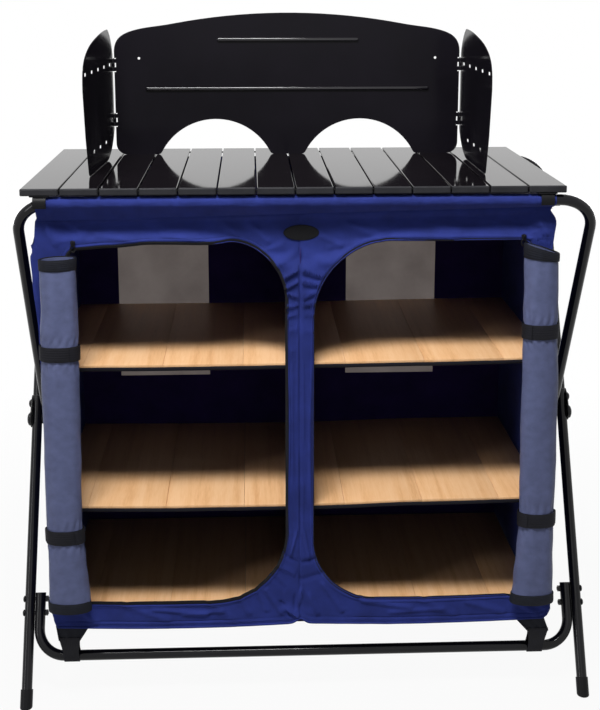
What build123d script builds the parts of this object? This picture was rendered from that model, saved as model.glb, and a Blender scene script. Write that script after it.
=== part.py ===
from build123d import *
import os
from math import atan2, cos, hypot, radians, sin

os.makedirs("parts", exist_ok=True)

# A camping kitchen stand. X runs along the worktop, Y from the front to the back, Z up.
# The origin is on the floor, under the middle of the outer box. All sizes are in millimetres.

# Driving dimensions of the frame
pivot_y = 7.5
bar_reach = 238.0
top_bar_z = 931.0
pivot_z = top_bar_z / 2
tube_r = 9.5
tube_wall = 1.2
inner_half = 491.0
outer_half = 512.0
bend_r = 60.0
tube_joint = 45.0
joiner_half = 32.0

# Driving dimensions of the worktop and its place on the frame
worktop_top = 957.0
worktop_length = 920.0
worktop_depth = 500.0
worktop_shift = -21.0
slat_count = 14
slat_gap = 2.2
slat_thick = 12.0
slat_wall = 1.1

# Driving dimensions of the cloth cabinet
cabinet_left = -454.0
cabinet_right = 434.0
cabinet_bottom = 150.0
cabinet_top = 917.0
wall = 3.0
wall_reach = 225.5
divider_x = -12.0
board_levels = {"top": 637.0, "middle": 374.0, "bottom": 160.0}
board_thick = 6.0
board_depth = 420.0

# Driving dimensions of the wind shield
screen_y = pivot_y + 165.0
screen_half = 341.5
screen_height = 278.0
sheet = 1.0
left_wing_angle = 87.0
right_wing_angle = 90.0

# Worked-out values that several pieces share
leg_tilt = atan2(bar_reach, top_bar_z - pivot_z)
leg_reach = hypot(bar_reach, top_bar_z - pivot_z)
front_face = pivot_y - wall_reach
rear_face = pivot_y + wall_reach
front_bar_y = pivot_y - bar_reach
rear_bar_y = pivot_y + bar_reach
cabinet_mid = (cabinet_left + cabinet_right) / 2
cabinet_width = cabinet_right - cabinet_left
hem_in = tube_r + 0.3
hem_out = hem_in + 1.5
sides = (-1, 1)


def save(part, name):
    part.label = name
    export_step(part, f"parts/{name}.step")


def leg_plane(lean):
    """The slanting plane of one frame: local x is X, local y climbs the legs from the pivot."""
    return Plane(
        origin=(0, pivot_y, pivot_z),
        x_dir=(1, 0, 0),
        z_dir=(0, -cos(leg_tilt), lean * sin(leg_tilt)),
    )


inner_plane = leg_plane(-1)
outer_plane = leg_plane(1)


def along_leg(z):
    """Distance up the leg from the pivot to the height z."""
    return (z - pivot_z) / cos(leg_tilt)


def across(plane, v, x):
    """A plane square to X, at the place v up the leg, whose normal is +X."""
    spot = plane.from_local_coords(Vector(x, v, 0))
    return Plane(origin=spot, x_dir=plane.y_dir, z_dir=(1, 0, 0))


def tube_section(start):
    """Ring profile of the steel tube on the plane at the start of a path."""
    with BuildSketch(start) as ring:
        Circle(tube_r)
        Circle(tube_r - tube_wall, mode=Mode.SUBTRACT)
    return ring.sketch


# Frame tubes

pivot_hole_r = 3.05
plate_bolt_v = 30.0


def upper_tube(plane, half):
    """One bent tube: top bar, two bends and both legs down to just above the pivot."""
    with BuildPart() as tube:
        with BuildLine(plane) as path:
            FilletPolyline(
                (-half, tube_joint),
                (-half, leg_reach),
                (half, leg_reach),
                (half, tube_joint),
                radius=bend_r,
            )
        sweep(tube_section(Plane(path.line ^ 0)))
    return tube


def lower_legs(plane, half, holes):
    """Two straight legs from the joint down to the feet, drilled across at each place in holes."""
    length = tube_joint - 0.4 + leg_reach - foot_floor
    with BuildPart() as legs:
        for side in sides:
            base = plane.from_local_coords(Vector(side * half, foot_floor - leg_reach, 0))
            extrude(tube_section(Plane(origin=base, z_dir=plane.y_dir)), amount=length)
        for v in holes:
            for side in sides:
                with BuildSketch(across(plane, v, side * half)):
                    Circle(pivot_hole_r)
                extrude(amount=tube_r + 1, both=True, mode=Mode.SUBTRACT)
    return legs


def joiners(plane, half, holes):
    """Two short inner tubes that hold the upper and the lower legs in line."""
    with BuildPart() as sleeves:
        for side in sides:
            base = plane.from_local_coords(Vector(side * half, tube_joint - joiner_half - 20, 0))
            with BuildSketch(Plane(origin=base, z_dir=plane.y_dir)):
                Circle(tube_r - tube_wall - 0.1)
                Circle(tube_r - 2 * tube_wall - 0.1, mode=Mode.SUBTRACT)
            extrude(amount=2 * joiner_half + 20)
        for v in holes:
            for side in sides:
                with BuildSketch(across(plane, v, side * half)):
                    Circle(pivot_hole_r)
                extrude(amount=tube_r, both=True, mode=Mode.SUBTRACT)
    return sleeves


foot_floor = 14.0
foot_cap = 30.0
foot_r = 11.2


def feet(plane, half):
    """Two plastic caps over the leg ends, cut level where they stand."""
    with BuildPart() as caps:
        for side in sides:
            base = plane.from_local_coords(Vector(side * half, -leg_reach - 12, 0))
            with BuildSketch(Plane(origin=base, z_dir=plane.y_dir)):
                Circle(foot_r)
            extrude(amount=12 + foot_cap)
        for side in sides:
            base = plane.from_local_coords(Vector(side * half, foot_floor - leg_reach, 0))
            with BuildSketch(Plane(origin=base, z_dir=plane.y_dir)):
                Circle(tube_r + 0.05)
            extrude(amount=foot_cap, mode=Mode.SUBTRACT)
        split(bisect_by=Plane.XY, keep=Keep.TOP)
    return caps


bar_end_z = 178.0
bar_z = 78.0
bar_bolt_levels = (along_leg(168.0), along_leg(146.0))
front_bar_half = outer_half - 2 * tube_r - 0.3
bar_bend_r = 48.0

save(upper_tube(outer_plane, outer_half).part, "outer_upper_tube")
save(lower_legs(outer_plane, outer_half, (0, plate_bolt_v) + bar_bolt_levels).part, "outer_lower_legs")
save(joiners(outer_plane, outer_half, (0, plate_bolt_v)).part, "outer_joiners")
save(feet(outer_plane, outer_half).part, "outer_feet")

save(upper_tube(inner_plane, inner_half).part, "inner_upper_tube")
save(lower_legs(inner_plane, inner_half, (0,)).part, "inner_lower_legs")
save(joiners(inner_plane, inner_half, (0,)).part, "inner_joiners")
save(feet(inner_plane, inner_half).part, "inner_feet")

# Bottom bar between the front legs: its ends turn up and lie against the legs

with BuildPart() as front_bar:
    with BuildLine(outer_plane) as bar_path:
        FilletPolyline(
            (-front_bar_half, along_leg(bar_end_z)),
            (-front_bar_half, along_leg(bar_z)),
            (front_bar_half, along_leg(bar_z)),
            (front_bar_half, along_leg(bar_end_z)),
            radius=bar_bend_r,
        )
    sweep(tube_section(Plane(bar_path.line ^ 0)))
    for level in bar_bolt_levels:
        for side in sides:
            with BuildSketch(across(outer_plane, level, side * front_bar_half)):
                Circle(pivot_hole_r)
            extrude(amount=tube_r + 1, both=True, mode=Mode.SUBTRACT)
save(front_bar.part, "front_bar")

# Bolts: a shank along X with a domed head outside and a hexagon nut inside

shank_r = 3.0
nut_thick = 5.0
nut_tail = 1.0
rivet_foot = 1.2


def bolt(plane, v, side, outer, inner, head_r, head_h, nut=nut_thick, tail=nut_tail):
    """One bolt through a leg, from its domed head at x = outer to its nut at x = inner."""
    with BuildSketch(across(plane, v, side * (inner - nut - tail))) as shank:
        Circle(shank_r)
    extrude(shank.sketch, amount=side * (outer - inner + nut + tail + 1))
    layer = head_h / 3
    for step, (share, taper) in enumerate(((1.0, 0), (1.0, 25), (0.9, 60))):
        with BuildSketch(across(plane, v, side * (outer + step * layer))) as ring:
            Circle(head_r * share)
        extrude(ring.sketch, amount=side * layer, taper=taper)
    with BuildSketch(across(plane, v, side * inner)) as hexagon:
        RegularPolygon(radius=5.5, side_count=6)
    extrude(hexagon.sketch, amount=side * -nut)


plate_thick = 2.0
plate_x = outer_half + tube_r + 0.1

with BuildPart() as front_bar_bolts:
    for level in bar_bolt_levels:
        for side in sides:
            bolt(
                outer_plane, level, side, outer_half + tube_r + 0.1,
                front_bar_half - tube_r - 0.1, 6.0, 3.0,
            )
save(front_bar_bolts.part, "front_bar_bolts")

# Crossing fitting: a plate outside each outer leg, the pivot bolt and a rivet above it. The
# rivet's flat foot stays clear of the inner leg, which folds up beside it.

with BuildPart() as pivot_plates:
    for side in sides:
        with BuildSketch(across(outer_plane, 0, side * plate_x)) as plate_face:
            with BuildLine():
                Polyline((-16, 0), (-8, -13), (12, -13), (34, -9), (plate_bolt_v + 16, 0))
                Polyline((-16, 0), (-8, 13), (12, 13), (34, 9), (plate_bolt_v + 16, 0))
            make_face()
            with Locations((0, 0), (plate_bolt_v, 0)):
                Circle(pivot_hole_r, mode=Mode.SUBTRACT)
        extrude(amount=side * plate_thick)
save(pivot_plates.part, "pivot_plates")

with BuildPart() as pivot_bolts:
    for side in sides:
        bolt(
            outer_plane, 0, side, plate_x + plate_thick,
            inner_half - tube_r - 0.5, 13.0, 6.0,
        )
        bolt(
            outer_plane, plate_bolt_v, side, plate_x + plate_thick,
            outer_half - tube_r - 0.1, 8.0, 5.0, nut=rivet_foot, tail=0,
        )
save(pivot_bolts.part, "pivot_bolts")

with BuildPart() as pivot_spacers:
    for side in sides:
        with BuildSketch(across(outer_plane, 0, side * (outer_half - tube_r - 0.05))):
            Circle(9.0)
            Circle(pivot_hole_r, mode=Mode.SUBTRACT)
        extrude(amount=side * -1.6)
save(pivot_spacers.part, "pivot_spacers")

# Cloth sleeves on the two top bars. A web behind each sleeve carries the wall that hangs from it.

web_top = top_bar_z + 2
web_thick = wall + 3


def facing(y):
    """A plane facing the front at y, with local x along X and local y up."""
    return Plane.XZ.offset(-y)


def hem(plane, half, bar_y, wall_low):
    """Sleeve that follows a top bar into its bends, and the web down to the wall behind it."""
    bends = ((-half, 0), (-half, leg_reach), (half, leg_reach), (half, 0))
    with BuildPart() as sleeve:
        with BuildLine(plane) as outside:
            FilletPolyline(*bends, radius=bend_r)
        with BuildSketch(Plane(outside.line ^ 0)):
            Circle(hem_out)
        sweep()
        with BuildSketch(Plane.YZ.offset(cabinet_left)):
            with Locations((wall_low + web_thick / 2, (cabinet_top + web_top) / 2)):
                Rectangle(web_thick, web_top - cabinet_top)
        extrude(amount=cabinet_width)
        with BuildLine(plane) as inside:
            FilletPolyline(*bends, radius=bend_r)
        with BuildSketch(Plane(inside.line ^ 0)):
            Circle(hem_in)
        sweep(mode=Mode.SUBTRACT)
        with BuildSketch(facing(bar_y + bend_r)):
            with Locations((cabinet_mid, top_bar_z)):
                Rectangle(cabinet_width, bend_r)
        extrude(amount=2 * bend_r, mode=Mode.INTERSECT)
    return sleeve


save(hem(inner_plane, inner_half, front_bar_y, front_face + wall - web_thick).part, "front_hem")
save(hem(outer_plane, outer_half, rear_bar_y, rear_face - wall).part, "rear_hem")

# Front panel with its two doorways

door_low = 199.0
door_high = 860.0
strip_half = 24.0
door_outer_margin = 28.0
door_inner_r = {(-1, "low"): 128.0, (-1, "high"): 104.0, (1, "low"): 112.0, (1, "high"): 138.0}
door_outer_r = 22.0
door_inner_edge = {-1: divider_x - 1 - strip_half, 1: divider_x - 1 + strip_half}
door_outer_edge = {-1: cabinet_left + door_outer_margin, 1: cabinet_right - door_outer_margin}


def doorway(side, grow=0.0):
    """Doorway outline as a face, wide curves beside the middle strip and small ones outside."""
    inner = door_inner_edge[side] - side * grow
    outer = door_outer_edge[side] + side * grow
    with BuildSketch(Plane.XY, mode=Mode.PRIVATE) as opening:
        with BuildLine():
            FilletPolyline(
                (outer, door_low - grow),
                (inner, door_low - grow),
                (inner, door_high + grow),
                (outer, door_high + grow),
                radius=[door_outer_r + grow] + [
                    door_inner_r[side, place] + grow for place in ("low", "high")
                ] + [door_outer_r + grow],
                close=True,
            )
        make_face()
    return opening.sketch


with BuildPart() as front_panel:
    with BuildSketch(facing(front_face + wall)):
        with Locations((cabinet_mid, (cabinet_bottom + cabinet_top) / 2)):
            Rectangle(cabinet_width, cabinet_top - cabinet_bottom)
        for side in sides:
            add(doorway(side), mode=Mode.SUBTRACT)
    extrude(amount=wall)
save(front_panel.part, "front_panel")

# Zip tape round each doorway, with a slider at the upper outer corner

tape_wide = 9.0
tape_thick = 1.2

with BuildPart() as zip_tapes:
    with BuildSketch(facing(front_face)):
        for side in sides:
            add(doorway(side, tape_wide))
        for side in sides:
            add(doorway(side), mode=Mode.SUBTRACT)
    extrude(amount=tape_thick)
save(zip_tapes.part, "zip_tapes")

slider_spot = {-1: (-398.0, 861.0), 1: (372.0, 866.0)}
slider_size = (9.0, 3.0, 14.0)
slider_face = front_face - tape_thick

with BuildPart() as zip_sliders:
    for side in sides:
        x, z = slider_spot[side]
        with BuildSketch(facing(slider_face)):
            with Locations((x, z)):
                SlotOverall(slider_size[2], slider_size[0], rotation=90)
        extrude(amount=slider_size[1])
save(zip_sliders.part, "zip_sliders")

pull_long = 20.0
pull_thick = 1.6
pull_gap = 0.4


def zip_pull(side):
    """Flat pull tab that hangs from its slider, with a round lower end."""
    x, z = slider_spot[side]
    with BuildPart() as pull:
        with BuildSketch(facing(slider_face - slider_size[1] - pull_gap)):
            with Locations((x, z + 4 - pull_long / 2)):
                SlotOverall(pull_long, 8.0, rotation=90)
            with Locations((x, z + 8 - pull_long)):
                Circle(1.8, mode=Mode.SUBTRACT)
        extrude(amount=pull_thick)
    return pull


save(zip_pull(-1).part, "zip_pull_left")
save(zip_pull(1).part, "zip_pull_right")

# Plain oval patch at the middle of the top

with BuildPart() as badge_patch:
    with BuildSketch(facing(front_face)):
        with Locations((divider_x + 2, 873.0)):
            Ellipse(30.0, 13.0)
    extrude(amount=1.5)
save(badge_patch.part, "badge_patch")

# Doors rolled up sideways: flattened rolls, wider at the foot and drawn in where the straps hold

roll_depth = 36.6
roll_back = front_face - tape_thick - 2.6
rolls = {
    "left": {
        "low": 196.0, "high": 838.0, "straps": (340.0, 674.0),
        "x_low": -423.0, "x_high": -419.0, "wide_low": 77.0, "wide_high": 66.0,
    },
    "right": {
        "low": 195.0, "high": 849.0, "straps": (357.0, 704.0),
        "x_low": 406.0, "x_high": 397.0, "wide_low": 76.0, "wide_high": 62.0,
    },
}
strap_high = 28.0
strap_thick = 2.2
band_high = 24.0
band_thick = 1.8
band_ease = 0.4
waist = 0.93
swell_reach = 46.0


def roll_at(roll, z):
    """Middle, half width and half depth of a roll at the height z."""
    share = (z - roll["low"]) / (roll["high"] - roll["low"])
    x = roll["x_low"] + share * (roll["x_high"] - roll["x_low"])
    wide = roll["wide_low"] + share * (roll["wide_high"] - roll["wide_low"])
    return x, wide / 2, roll_depth / 2


def door_roll(roll):
    """One rolled door, lofted through ovals and drawn in under each strap."""
    near = strap_high / 2 + 1
    levels = [(roll["low"], 1.0)]
    for strap in roll["straps"]:
        levels += [
            (strap - swell_reach, 1.0), (strap - near, waist),
            (strap + near, waist), (strap + swell_reach, 1.0),
        ]
    levels.append((roll["high"], 1.0))
    with BuildPart() as rolled:
        for z, share in levels:
            x, half_wide, half_deep = roll_at(roll, z)
            with BuildSketch(Plane.XY.offset(z)):
                with Locations((x, roll_back - half_deep)):
                    Ellipse(half_wide * share, half_deep * share)
        loft(ruled=True)
    return rolled


def ring_round(roll, low, high, share, thick):
    """An oval ring of cloth round a roll between two heights."""
    x, half_wide, half_deep = roll_at(roll, (low + high) / 2)
    inside = (half_wide * share + band_ease, half_deep * share + band_ease)
    with BuildSketch(Plane.XY.offset(low)) as ring:
        with Locations((x, roll_back - half_deep)):
            Ellipse(inside[0] + thick, inside[1] + thick)
            Ellipse(*inside, mode=Mode.SUBTRACT)
    extrude(ring.sketch, amount=high - low)


for name, roll in rolls.items():
    save(door_roll(roll).part, f"door_roll_{name}")

with BuildPart() as roll_straps:
    for roll in rolls.values():
        for level in roll["straps"]:
            ring_round(roll, level - strap_high / 2, level + strap_high / 2, waist, strap_thick)
save(roll_straps.part, "roll_straps")

with BuildPart() as roll_end_bands:
    for roll in rolls.values():
        ring_round(roll, roll["low"], roll["low"] + band_high, 1.0, band_thick)
        ring_round(roll, roll["high"] - band_high, roll["high"], 1.0, band_thick)
save(roll_end_bands.part, "roll_end_bands")

# Gussets under the front corners, and the webbing loops that tie them to the bottom bar

gusset_low = 126.0
gusset_x = {-1: (-452.0, -394.0), 1: (382.0, 432.0)}
loop_x = {-1: -431.0, 1: 426.0}
loop_wide = 27.0

with BuildPart() as front_gussets:
    for side in sides:
        left, right = gusset_x[side]
        with BuildSketch(facing(front_face + wall)):
            with BuildLine():
                Polyline(
                    (left, cabinet_bottom),
                    (right, cabinet_bottom),
                    (loop_x[side] + loop_wide / 2, gusset_low),
                    (loop_x[side] - loop_wide / 2, gusset_low),
                    close=True,
                )
            make_face()
        extrude(amount=wall)
save(front_gussets.part, "front_gussets")

bar_spot = outer_plane.from_local_coords(Vector(0, along_leg(bar_z), 0))

with BuildPart() as bar_straps:
    for side in sides:
        with BuildSketch(Plane.YZ.offset(loop_x[side] - loop_wide / 2)):
            with BuildLine():
                Polyline(
                    (bar_spot.Y - 9.0, bar_z + 3),
                    (bar_spot.Y + 9.0, bar_z + 6),
                    (front_face + wall, gusset_low - 0.3),
                    (front_face, gusset_low - 0.3),
                    close=True,
                )
            make_face()
            with Locations((bar_spot.Y, bar_z)):
                Circle(hem_out)
                Circle(hem_in, mode=Mode.SUBTRACT)
        extrude(amount=loop_wide)
save(bar_straps.part, "bar_straps")

# Rear wall with its two windows

window_low = 478.0
window_high = 860.0
windows = {"left": (-372.0, -185.0), "right": (102.0, 289.0)}


def window_faces(grow):
    """The two window rectangles as faces, grown by a seam allowance."""
    for left, right in windows.values():
        with Locations(((left + right) / 2, (window_low + window_high) / 2)):
            Rectangle(right - left + 2 * grow, window_high - window_low + 2 * grow)


with BuildPart() as rear_wall:
    with BuildSketch(facing(rear_face)):
        with Locations((cabinet_mid, (cabinet_bottom + cabinet_top) / 2)):
            Rectangle(cabinet_width, cabinet_top - cabinet_bottom)
    extrude(amount=wall)
    with BuildSketch(facing(rear_face)):
        window_faces(0)
    extrude(amount=wall, mode=Mode.SUBTRACT)
save(rear_wall.part, "rear_wall")

with BuildPart() as rear_windows:
    with BuildSketch(facing(rear_face + 0.8)):
        window_faces(8)
    extrude(amount=0.8)
save(rear_windows.part, "rear_windows")

# Side walls, top and divider

side_span = 2 * wall_reach - 2 * wall - 0.6

with BuildPart() as side_walls:
    for x in (cabinet_left, cabinet_right - wall):
        with BuildSketch(Plane.YZ.offset(x)):
            with Locations((pivot_y, (cabinet_bottom + cabinet_top) / 2)):
                Rectangle(side_span, cabinet_top - cabinet_bottom)
        extrude(amount=wall)
save(side_walls.part, "side_walls")

with BuildPart() as top_panel:
    with BuildSketch(Plane.XY.offset(cabinet_top + 1)):
        with Locations((cabinet_mid, pivot_y)):
            Rectangle(cabinet_width, side_span)
    extrude(amount=1.5)
save(top_panel.part, "top_panel")

with BuildPart() as divider:
    with BuildSketch(Plane.YZ.offset(divider_x - wall / 2)):
        with Locations((pivot_y, (cabinet_bottom + 3 + cabinet_top) / 2)):
            Rectangle(side_span, cabinet_top - cabinet_bottom - 3)
    extrude(amount=wall)
save(divider.part, "divider")

# Shelves: strips of board in a cloth tray, one tray on each side of the divider

strip_joints = {-1: (-392.0, -252.0, -112.0), 1: (68.0, 208.0, 348.0)}
column = {
    -1: (cabinet_left + wall + 0.4, divider_x - wall / 2 - 0.4),
    1: (divider_x + wall / 2 + 0.4, cabinet_right - wall - 0.4),
}
strip_gap = 1.2
tray_sheet = 1.4
tray_lip = 3.0
lip_high = 10.0
board_front = pivot_y - board_depth / 2


def boards(level):
    """The board strips of one level, a few millimetres of air round each."""
    with BuildPart() as strips:
        for side in sides:
            edges = (column[side][0],) + strip_joints[side] + (column[side][1],)
            with BuildSketch(Plane.XY.offset(level - board_thick)) as outline:
                for left, right in zip(edges, edges[1:]):
                    with Locations(((left + right) / 2, pivot_y)):
                        Rectangle(right - left - strip_gap, board_depth)
                fillet(outline.vertices(), radius=5)
            extrude(amount=board_thick)
        top_edges = strips.faces().filter_by(Axis.Z).group_by(Axis.Z)[-1].edges()
        chamfer(top_edges.filter_by(Axis.Y), length=0.8)
    return strips


def tray(level):
    """The cloth under one level of boards, with the lip that edges them in front."""
    under = level - board_thick - 0.2
    with BuildPart() as cloth:
        for side in sides:
            left, right = column[side]
            with BuildSketch(Plane.YZ.offset(left)):
                with BuildLine():
                    Polyline(
                        (board_front + board_depth, under),
                        (board_front + board_depth, under - tray_sheet),
                        (board_front - tray_lip, level - lip_high),
                        (board_front - tray_lip, level - 0.6),
                        (board_front - 0.3, level - 0.6),
                        (board_front - 0.3, under),
                        close=True,
                    )
                make_face()
            extrude(amount=right - left)
    return cloth


for name, level in board_levels.items():
    save(boards(level).part, f"shelf_boards_{name}")

save(tray(board_levels["top"]).part, "shelf_cloth_top")
save(tray(board_levels["middle"]).part, "shelf_cloth_middle")

with BuildPart() as floor_panel:
    with BuildSketch(Plane.XY.offset(cabinet_bottom)):
        with Locations((cabinet_mid, pivot_y)):
            Rectangle(cabinet_width - 2 * wall - 0.8, side_span)
    extrude(amount=2)
save(floor_panel.part, "floor_panel")

# Worktop: hollow slats side by side, plugged at both ends and threaded on two elastic cords

slat_pitch = worktop_length / slat_count
slat_wide = slat_pitch - slat_gap
slat_base = worktop_top - slat_thick
cap_flange = 5.0
slat_long = worktop_depth - 2 * cap_flange
cord_r = 1.5
cord_y = {-1: pivot_y - worktop_depth / 2 + 13, 1: pivot_y + worktop_depth / 2 - 13}
cord_z = worktop_top - slat_thick / 2
hook_x = [
    worktop_shift + side * (worktop_length / 2 - slat_pitch / 2) for side in sides
]
rivet_r = 2.0
rivet_spread = 7.0
rivet_head_r = 3.6
rivet_head_h = 1.0


def slat_x(number):
    """Middle of a slat, counted from the left end."""
    return worktop_shift - worktop_length / 2 + slat_pitch * (number + 0.5)


def slat_group(numbers):
    """Hollow slats laid along Y."""
    with BuildSketch(facing(pivot_y + slat_long / 2)) as profiles:
        for number in numbers:
            with Locations((slat_x(number), cord_z)):
                RectangleRounded(slat_wide, slat_thick, 2.0)
                RectangleRounded(
                    slat_wide - 2 * slat_wall, slat_thick - 2 * slat_wall, 0.8,
                    mode=Mode.SUBTRACT,
                )
    extrude(profiles.sketch, amount=slat_long)


def cord_holes(left, right):
    """Cut the two cord holes across everything between left and right."""
    for y in cord_y.values():
        with BuildSketch(Plane.YZ.offset(left)) as hole:
            with Locations((y, cord_z)):
                Circle(cord_r + 0.5)
        extrude(hole.sketch, amount=right - left, mode=Mode.SUBTRACT)


def rivet_spots(x, side):
    """Places of the two rivets of one hook."""
    y = front_bar_y if side < 0 else rear_bar_y
    return [(x - rivet_spread, y), (x + rivet_spread, y)]


worktop_left = worktop_shift - worktop_length / 2
worktop_right = worktop_shift + worktop_length / 2

with BuildPart() as slats:
    slat_group(range(1, slat_count - 1))
    cord_holes(worktop_left, worktop_right)
save(slats.part, "slats")

with BuildPart() as end_slats:
    slat_group((0, slat_count - 1))
    cord_holes(worktop_left + slat_pitch / 2, worktop_right - slat_pitch / 2)
    for x in hook_x:
        for side in sides:
            with BuildSketch(Plane.XY.offset(slat_base - 0.5)):
                with Locations(*rivet_spots(x, side)):
                    Circle(rivet_r)
            extrude(amount=2, mode=Mode.SUBTRACT)
save(end_slats.part, "end_slats")

plug_long = 21.0
plug_clear = 0.2

with BuildPart() as slat_end_caps:
    for number in range(slat_count):
        for side in sides:
            edge = pivot_y + side * worktop_depth / 2
            with BuildSketch(facing(edge)):
                with Locations((slat_x(number), cord_z)):
                    RectangleRounded(slat_wide, slat_thick, 2.0)
            extrude(amount=side * cap_flange)
            with BuildSketch(facing(edge - side * cap_flange)):
                with Locations((slat_x(number), cord_z)):
                    Rectangle(
                        slat_wide - 2 * (slat_wall + plug_clear) - 1.6,
                        slat_thick - 2 * (slat_wall + plug_clear) - 1.0,
                    )
            extrude(amount=side * plug_long)
    ends = slat_end_caps.faces().filter_by(Axis.Y).group_by(Axis.Y)
    for outside in (ends[0], ends[-1]):
        chamfer(outside.edges(), length=1.8)
    cord_holes(slat_x(0), slat_x(slat_count - 1))
    for x in hook_x:
        for side in sides:
            with BuildSketch(Plane.XY.offset(slat_base)):
                with Locations(*rivet_spots(x, side)):
                    Circle(rivet_head_r + 0.4)
            extrude(amount=slat_wall + rivet_head_h + 0.4, mode=Mode.SUBTRACT)
save(slat_end_caps.part, "slat_end_caps")

with BuildPart() as slat_cords:
    for y in cord_y.values():
        with BuildSketch(Plane.YZ.offset(slat_x(0))):
            with Locations((y, cord_z)):
                Circle(cord_r)
        extrude(amount=slat_x(slat_count - 1) - slat_x(0))
save(slat_cords.part, "slat_cords")

# Hooks under the end slats. The front pair is open to the back, the rear pair is open below.

hook_in = hem_out + 0.4
hook_out = hook_in + 3.0
hook_wide = 22.0
pad_wide = 34.0
pad_deep = 23.0
pad_thick = 2.0


def hooks(bar_y, start, stop):
    """Two hooks on one top bar. The lip covers the angles from start to stop, from the top."""
    with BuildPart() as pair:
        for x in hook_x:
            with BuildSketch(Plane.YZ.offset(x - hook_wide / 2)):
                with Locations((bar_y, top_bar_z)):
                    Circle(hook_out)
                with BuildLine():
                    angles = [start + (stop - start) * step / 8 for step in range(9)]
                    reach = hook_out + 8
                    points = [
                        (bar_y + reach * sin(radians(a)), top_bar_z + reach * cos(radians(a)))
                        for a in angles
                    ]
                    Polyline((bar_y, top_bar_z), *points, close=True)
                make_face(mode=Mode.INTERSECT)
                with Locations((bar_y, top_bar_z)):
                    Circle(hook_in, mode=Mode.SUBTRACT)
                with Locations((bar_y, slat_base + hook_out / 2)):
                    Rectangle(3 * hook_out, hook_out, mode=Mode.SUBTRACT)
            extrude(amount=hook_wide)
            with BuildSketch(Plane.XY.offset(slat_base - pad_thick)):
                with Locations((x, bar_y)):
                    RectangleRounded(pad_wide, pad_deep, 4)
            extrude(amount=pad_thick)
        for x in hook_x:
            with BuildSketch(Plane.XY.offset(top_bar_z)):
                with Locations((x - rivet_spread, bar_y), (x + rivet_spread, bar_y)):
                    Circle(rivet_r)
            extrude(amount=slat_base - top_bar_z, mode=Mode.SUBTRACT)
    return pair


save(hooks(front_bar_y, -120, 25).part, "hooks_front")
save(hooks(rear_bar_y, -60, 88).part, "hooks_rear")

with BuildPart() as hook_rivets:
    for x in hook_x:
        for side in sides:
            with BuildSketch(Plane.XY.offset(top_bar_z + hook_in + 0.1)):
                with Locations(*rivet_spots(x, side)):
                    Circle(rivet_r)
            extrude(amount=slat_base - top_bar_z - hook_in + slat_wall)
            with BuildSketch(Plane.XY.offset(slat_base + slat_wall)):
                with Locations(*rivet_spots(x, side)):
                    Circle(rivet_head_r)
            extrude(amount=rivet_head_h)
save(hook_rivets.part, "hook_rivets")

# Wind shield: a back sheet with two arches below, and two wings on rolled hinges

knuckle_r = 2.4
pin_r = 1.2
wing_hole_r = 1.26
pin_head_r = 1.9
hinge_levels = (177.0, 69.0)
knuckle_high = 7.8
knuckle_pitch = 8.1
sheet_offset = knuckle_r - sheet
hinge_y = screen_y - sheet_offset - sheet / 2
arch_x = 143.0
arch_half = 110.0
arch_high = 70.0
arch_r = (arch_half ** 2 + arch_high ** 2) / (2 * arch_high)
shoulder_x, shoulder_z = 226.0, 257.0
corner_x, corner_z = 306.0, 243.0
side_top_z = 202.0
foot_corner_r = 22.0
edge_gap = 1.0
pocket_reach = 4.4
pocket_high = 3 * knuckle_pitch + 3.0


back_plane = Plane(
    origin=(worktop_shift, screen_y + sheet / 2, worktop_top), x_dir=(1, 0, 0), z_dir=(0, -1, 0)
)
edge = screen_half - edge_gap

with BuildPart() as screen_back:
    with BuildSketch(back_plane) as back_face:
        with BuildLine():
            ThreePointArc((-shoulder_x, shoulder_z), (0, screen_height), (shoulder_x, shoulder_z))
            for side in sides:
                Spline(
                    (side * shoulder_x, shoulder_z),
                    (side * corner_x, corner_z),
                    (side * edge, side_top_z),
                    tangents=((side, -0.187), (0, -1)),
                )
                Line((side * edge, side_top_z), (side * edge, foot_corner_r))
                ThreePointArc(
                    (side * edge, foot_corner_r),
                    (side * (edge - 0.293 * foot_corner_r), 0.293 * foot_corner_r),
                    (side * (edge - foot_corner_r), 0),
                )
            Line((-edge + foot_corner_r, 0), (edge - foot_corner_r, 0))
        make_face()
        for side in sides:
            with Locations((side * arch_x, arch_high - arch_r)):
                Circle(arch_r, mode=Mode.SUBTRACT)
        toes = back_face.vertices().filter_by(
            lambda v: v.Y < 1 and abs(v.X) < screen_half - foot_corner_r - 10
        )
        fillet(toes, radius=9)
        with Locations((-292, 190), (292, 190)):
            Circle(2.5, mode=Mode.SUBTRACT)
        for side in sides:
            with Locations(*[(side * screen_half, level) for level in hinge_levels]):
                Rectangle(2 * pocket_reach, pocket_high, mode=Mode.SUBTRACT)
    extrude(amount=sheet)
    for rib_z, rib_half in ((226.0, 139.0), (130.0, 280.0)):
        with BuildSketch(back_plane.offset(sheet)):
            with Locations((0, rib_z)):
                SlotOverall(2 * rib_half, 6.0)
        extrude(amount=1.2)
    ribs = screen_back.faces().filter_by(Axis.Y).group_by(Axis.Y)[0]
    chamfer(ribs.edges(), length=1.0)
    for side in sides:
        for level in hinge_levels:
            for step in (-1, 1):
                low = worktop_top + level + step * knuckle_pitch - knuckle_high / 2
                hinge_x = worktop_shift + side * screen_half
                with BuildSketch(Plane.XY.offset(low)):
                    with Locations((hinge_x, hinge_y)):
                        Circle(knuckle_r)
                    with Locations((hinge_x - side * (pocket_reach + 1) / 2, screen_y)):
                        Rectangle(pocket_reach + 1, sheet)
                    with Locations((hinge_x, hinge_y)):
                        Circle(pin_r, mode=Mode.SUBTRACT)
                extrude(amount=knuckle_high)
save(screen_back.part, "screen_back")

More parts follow.
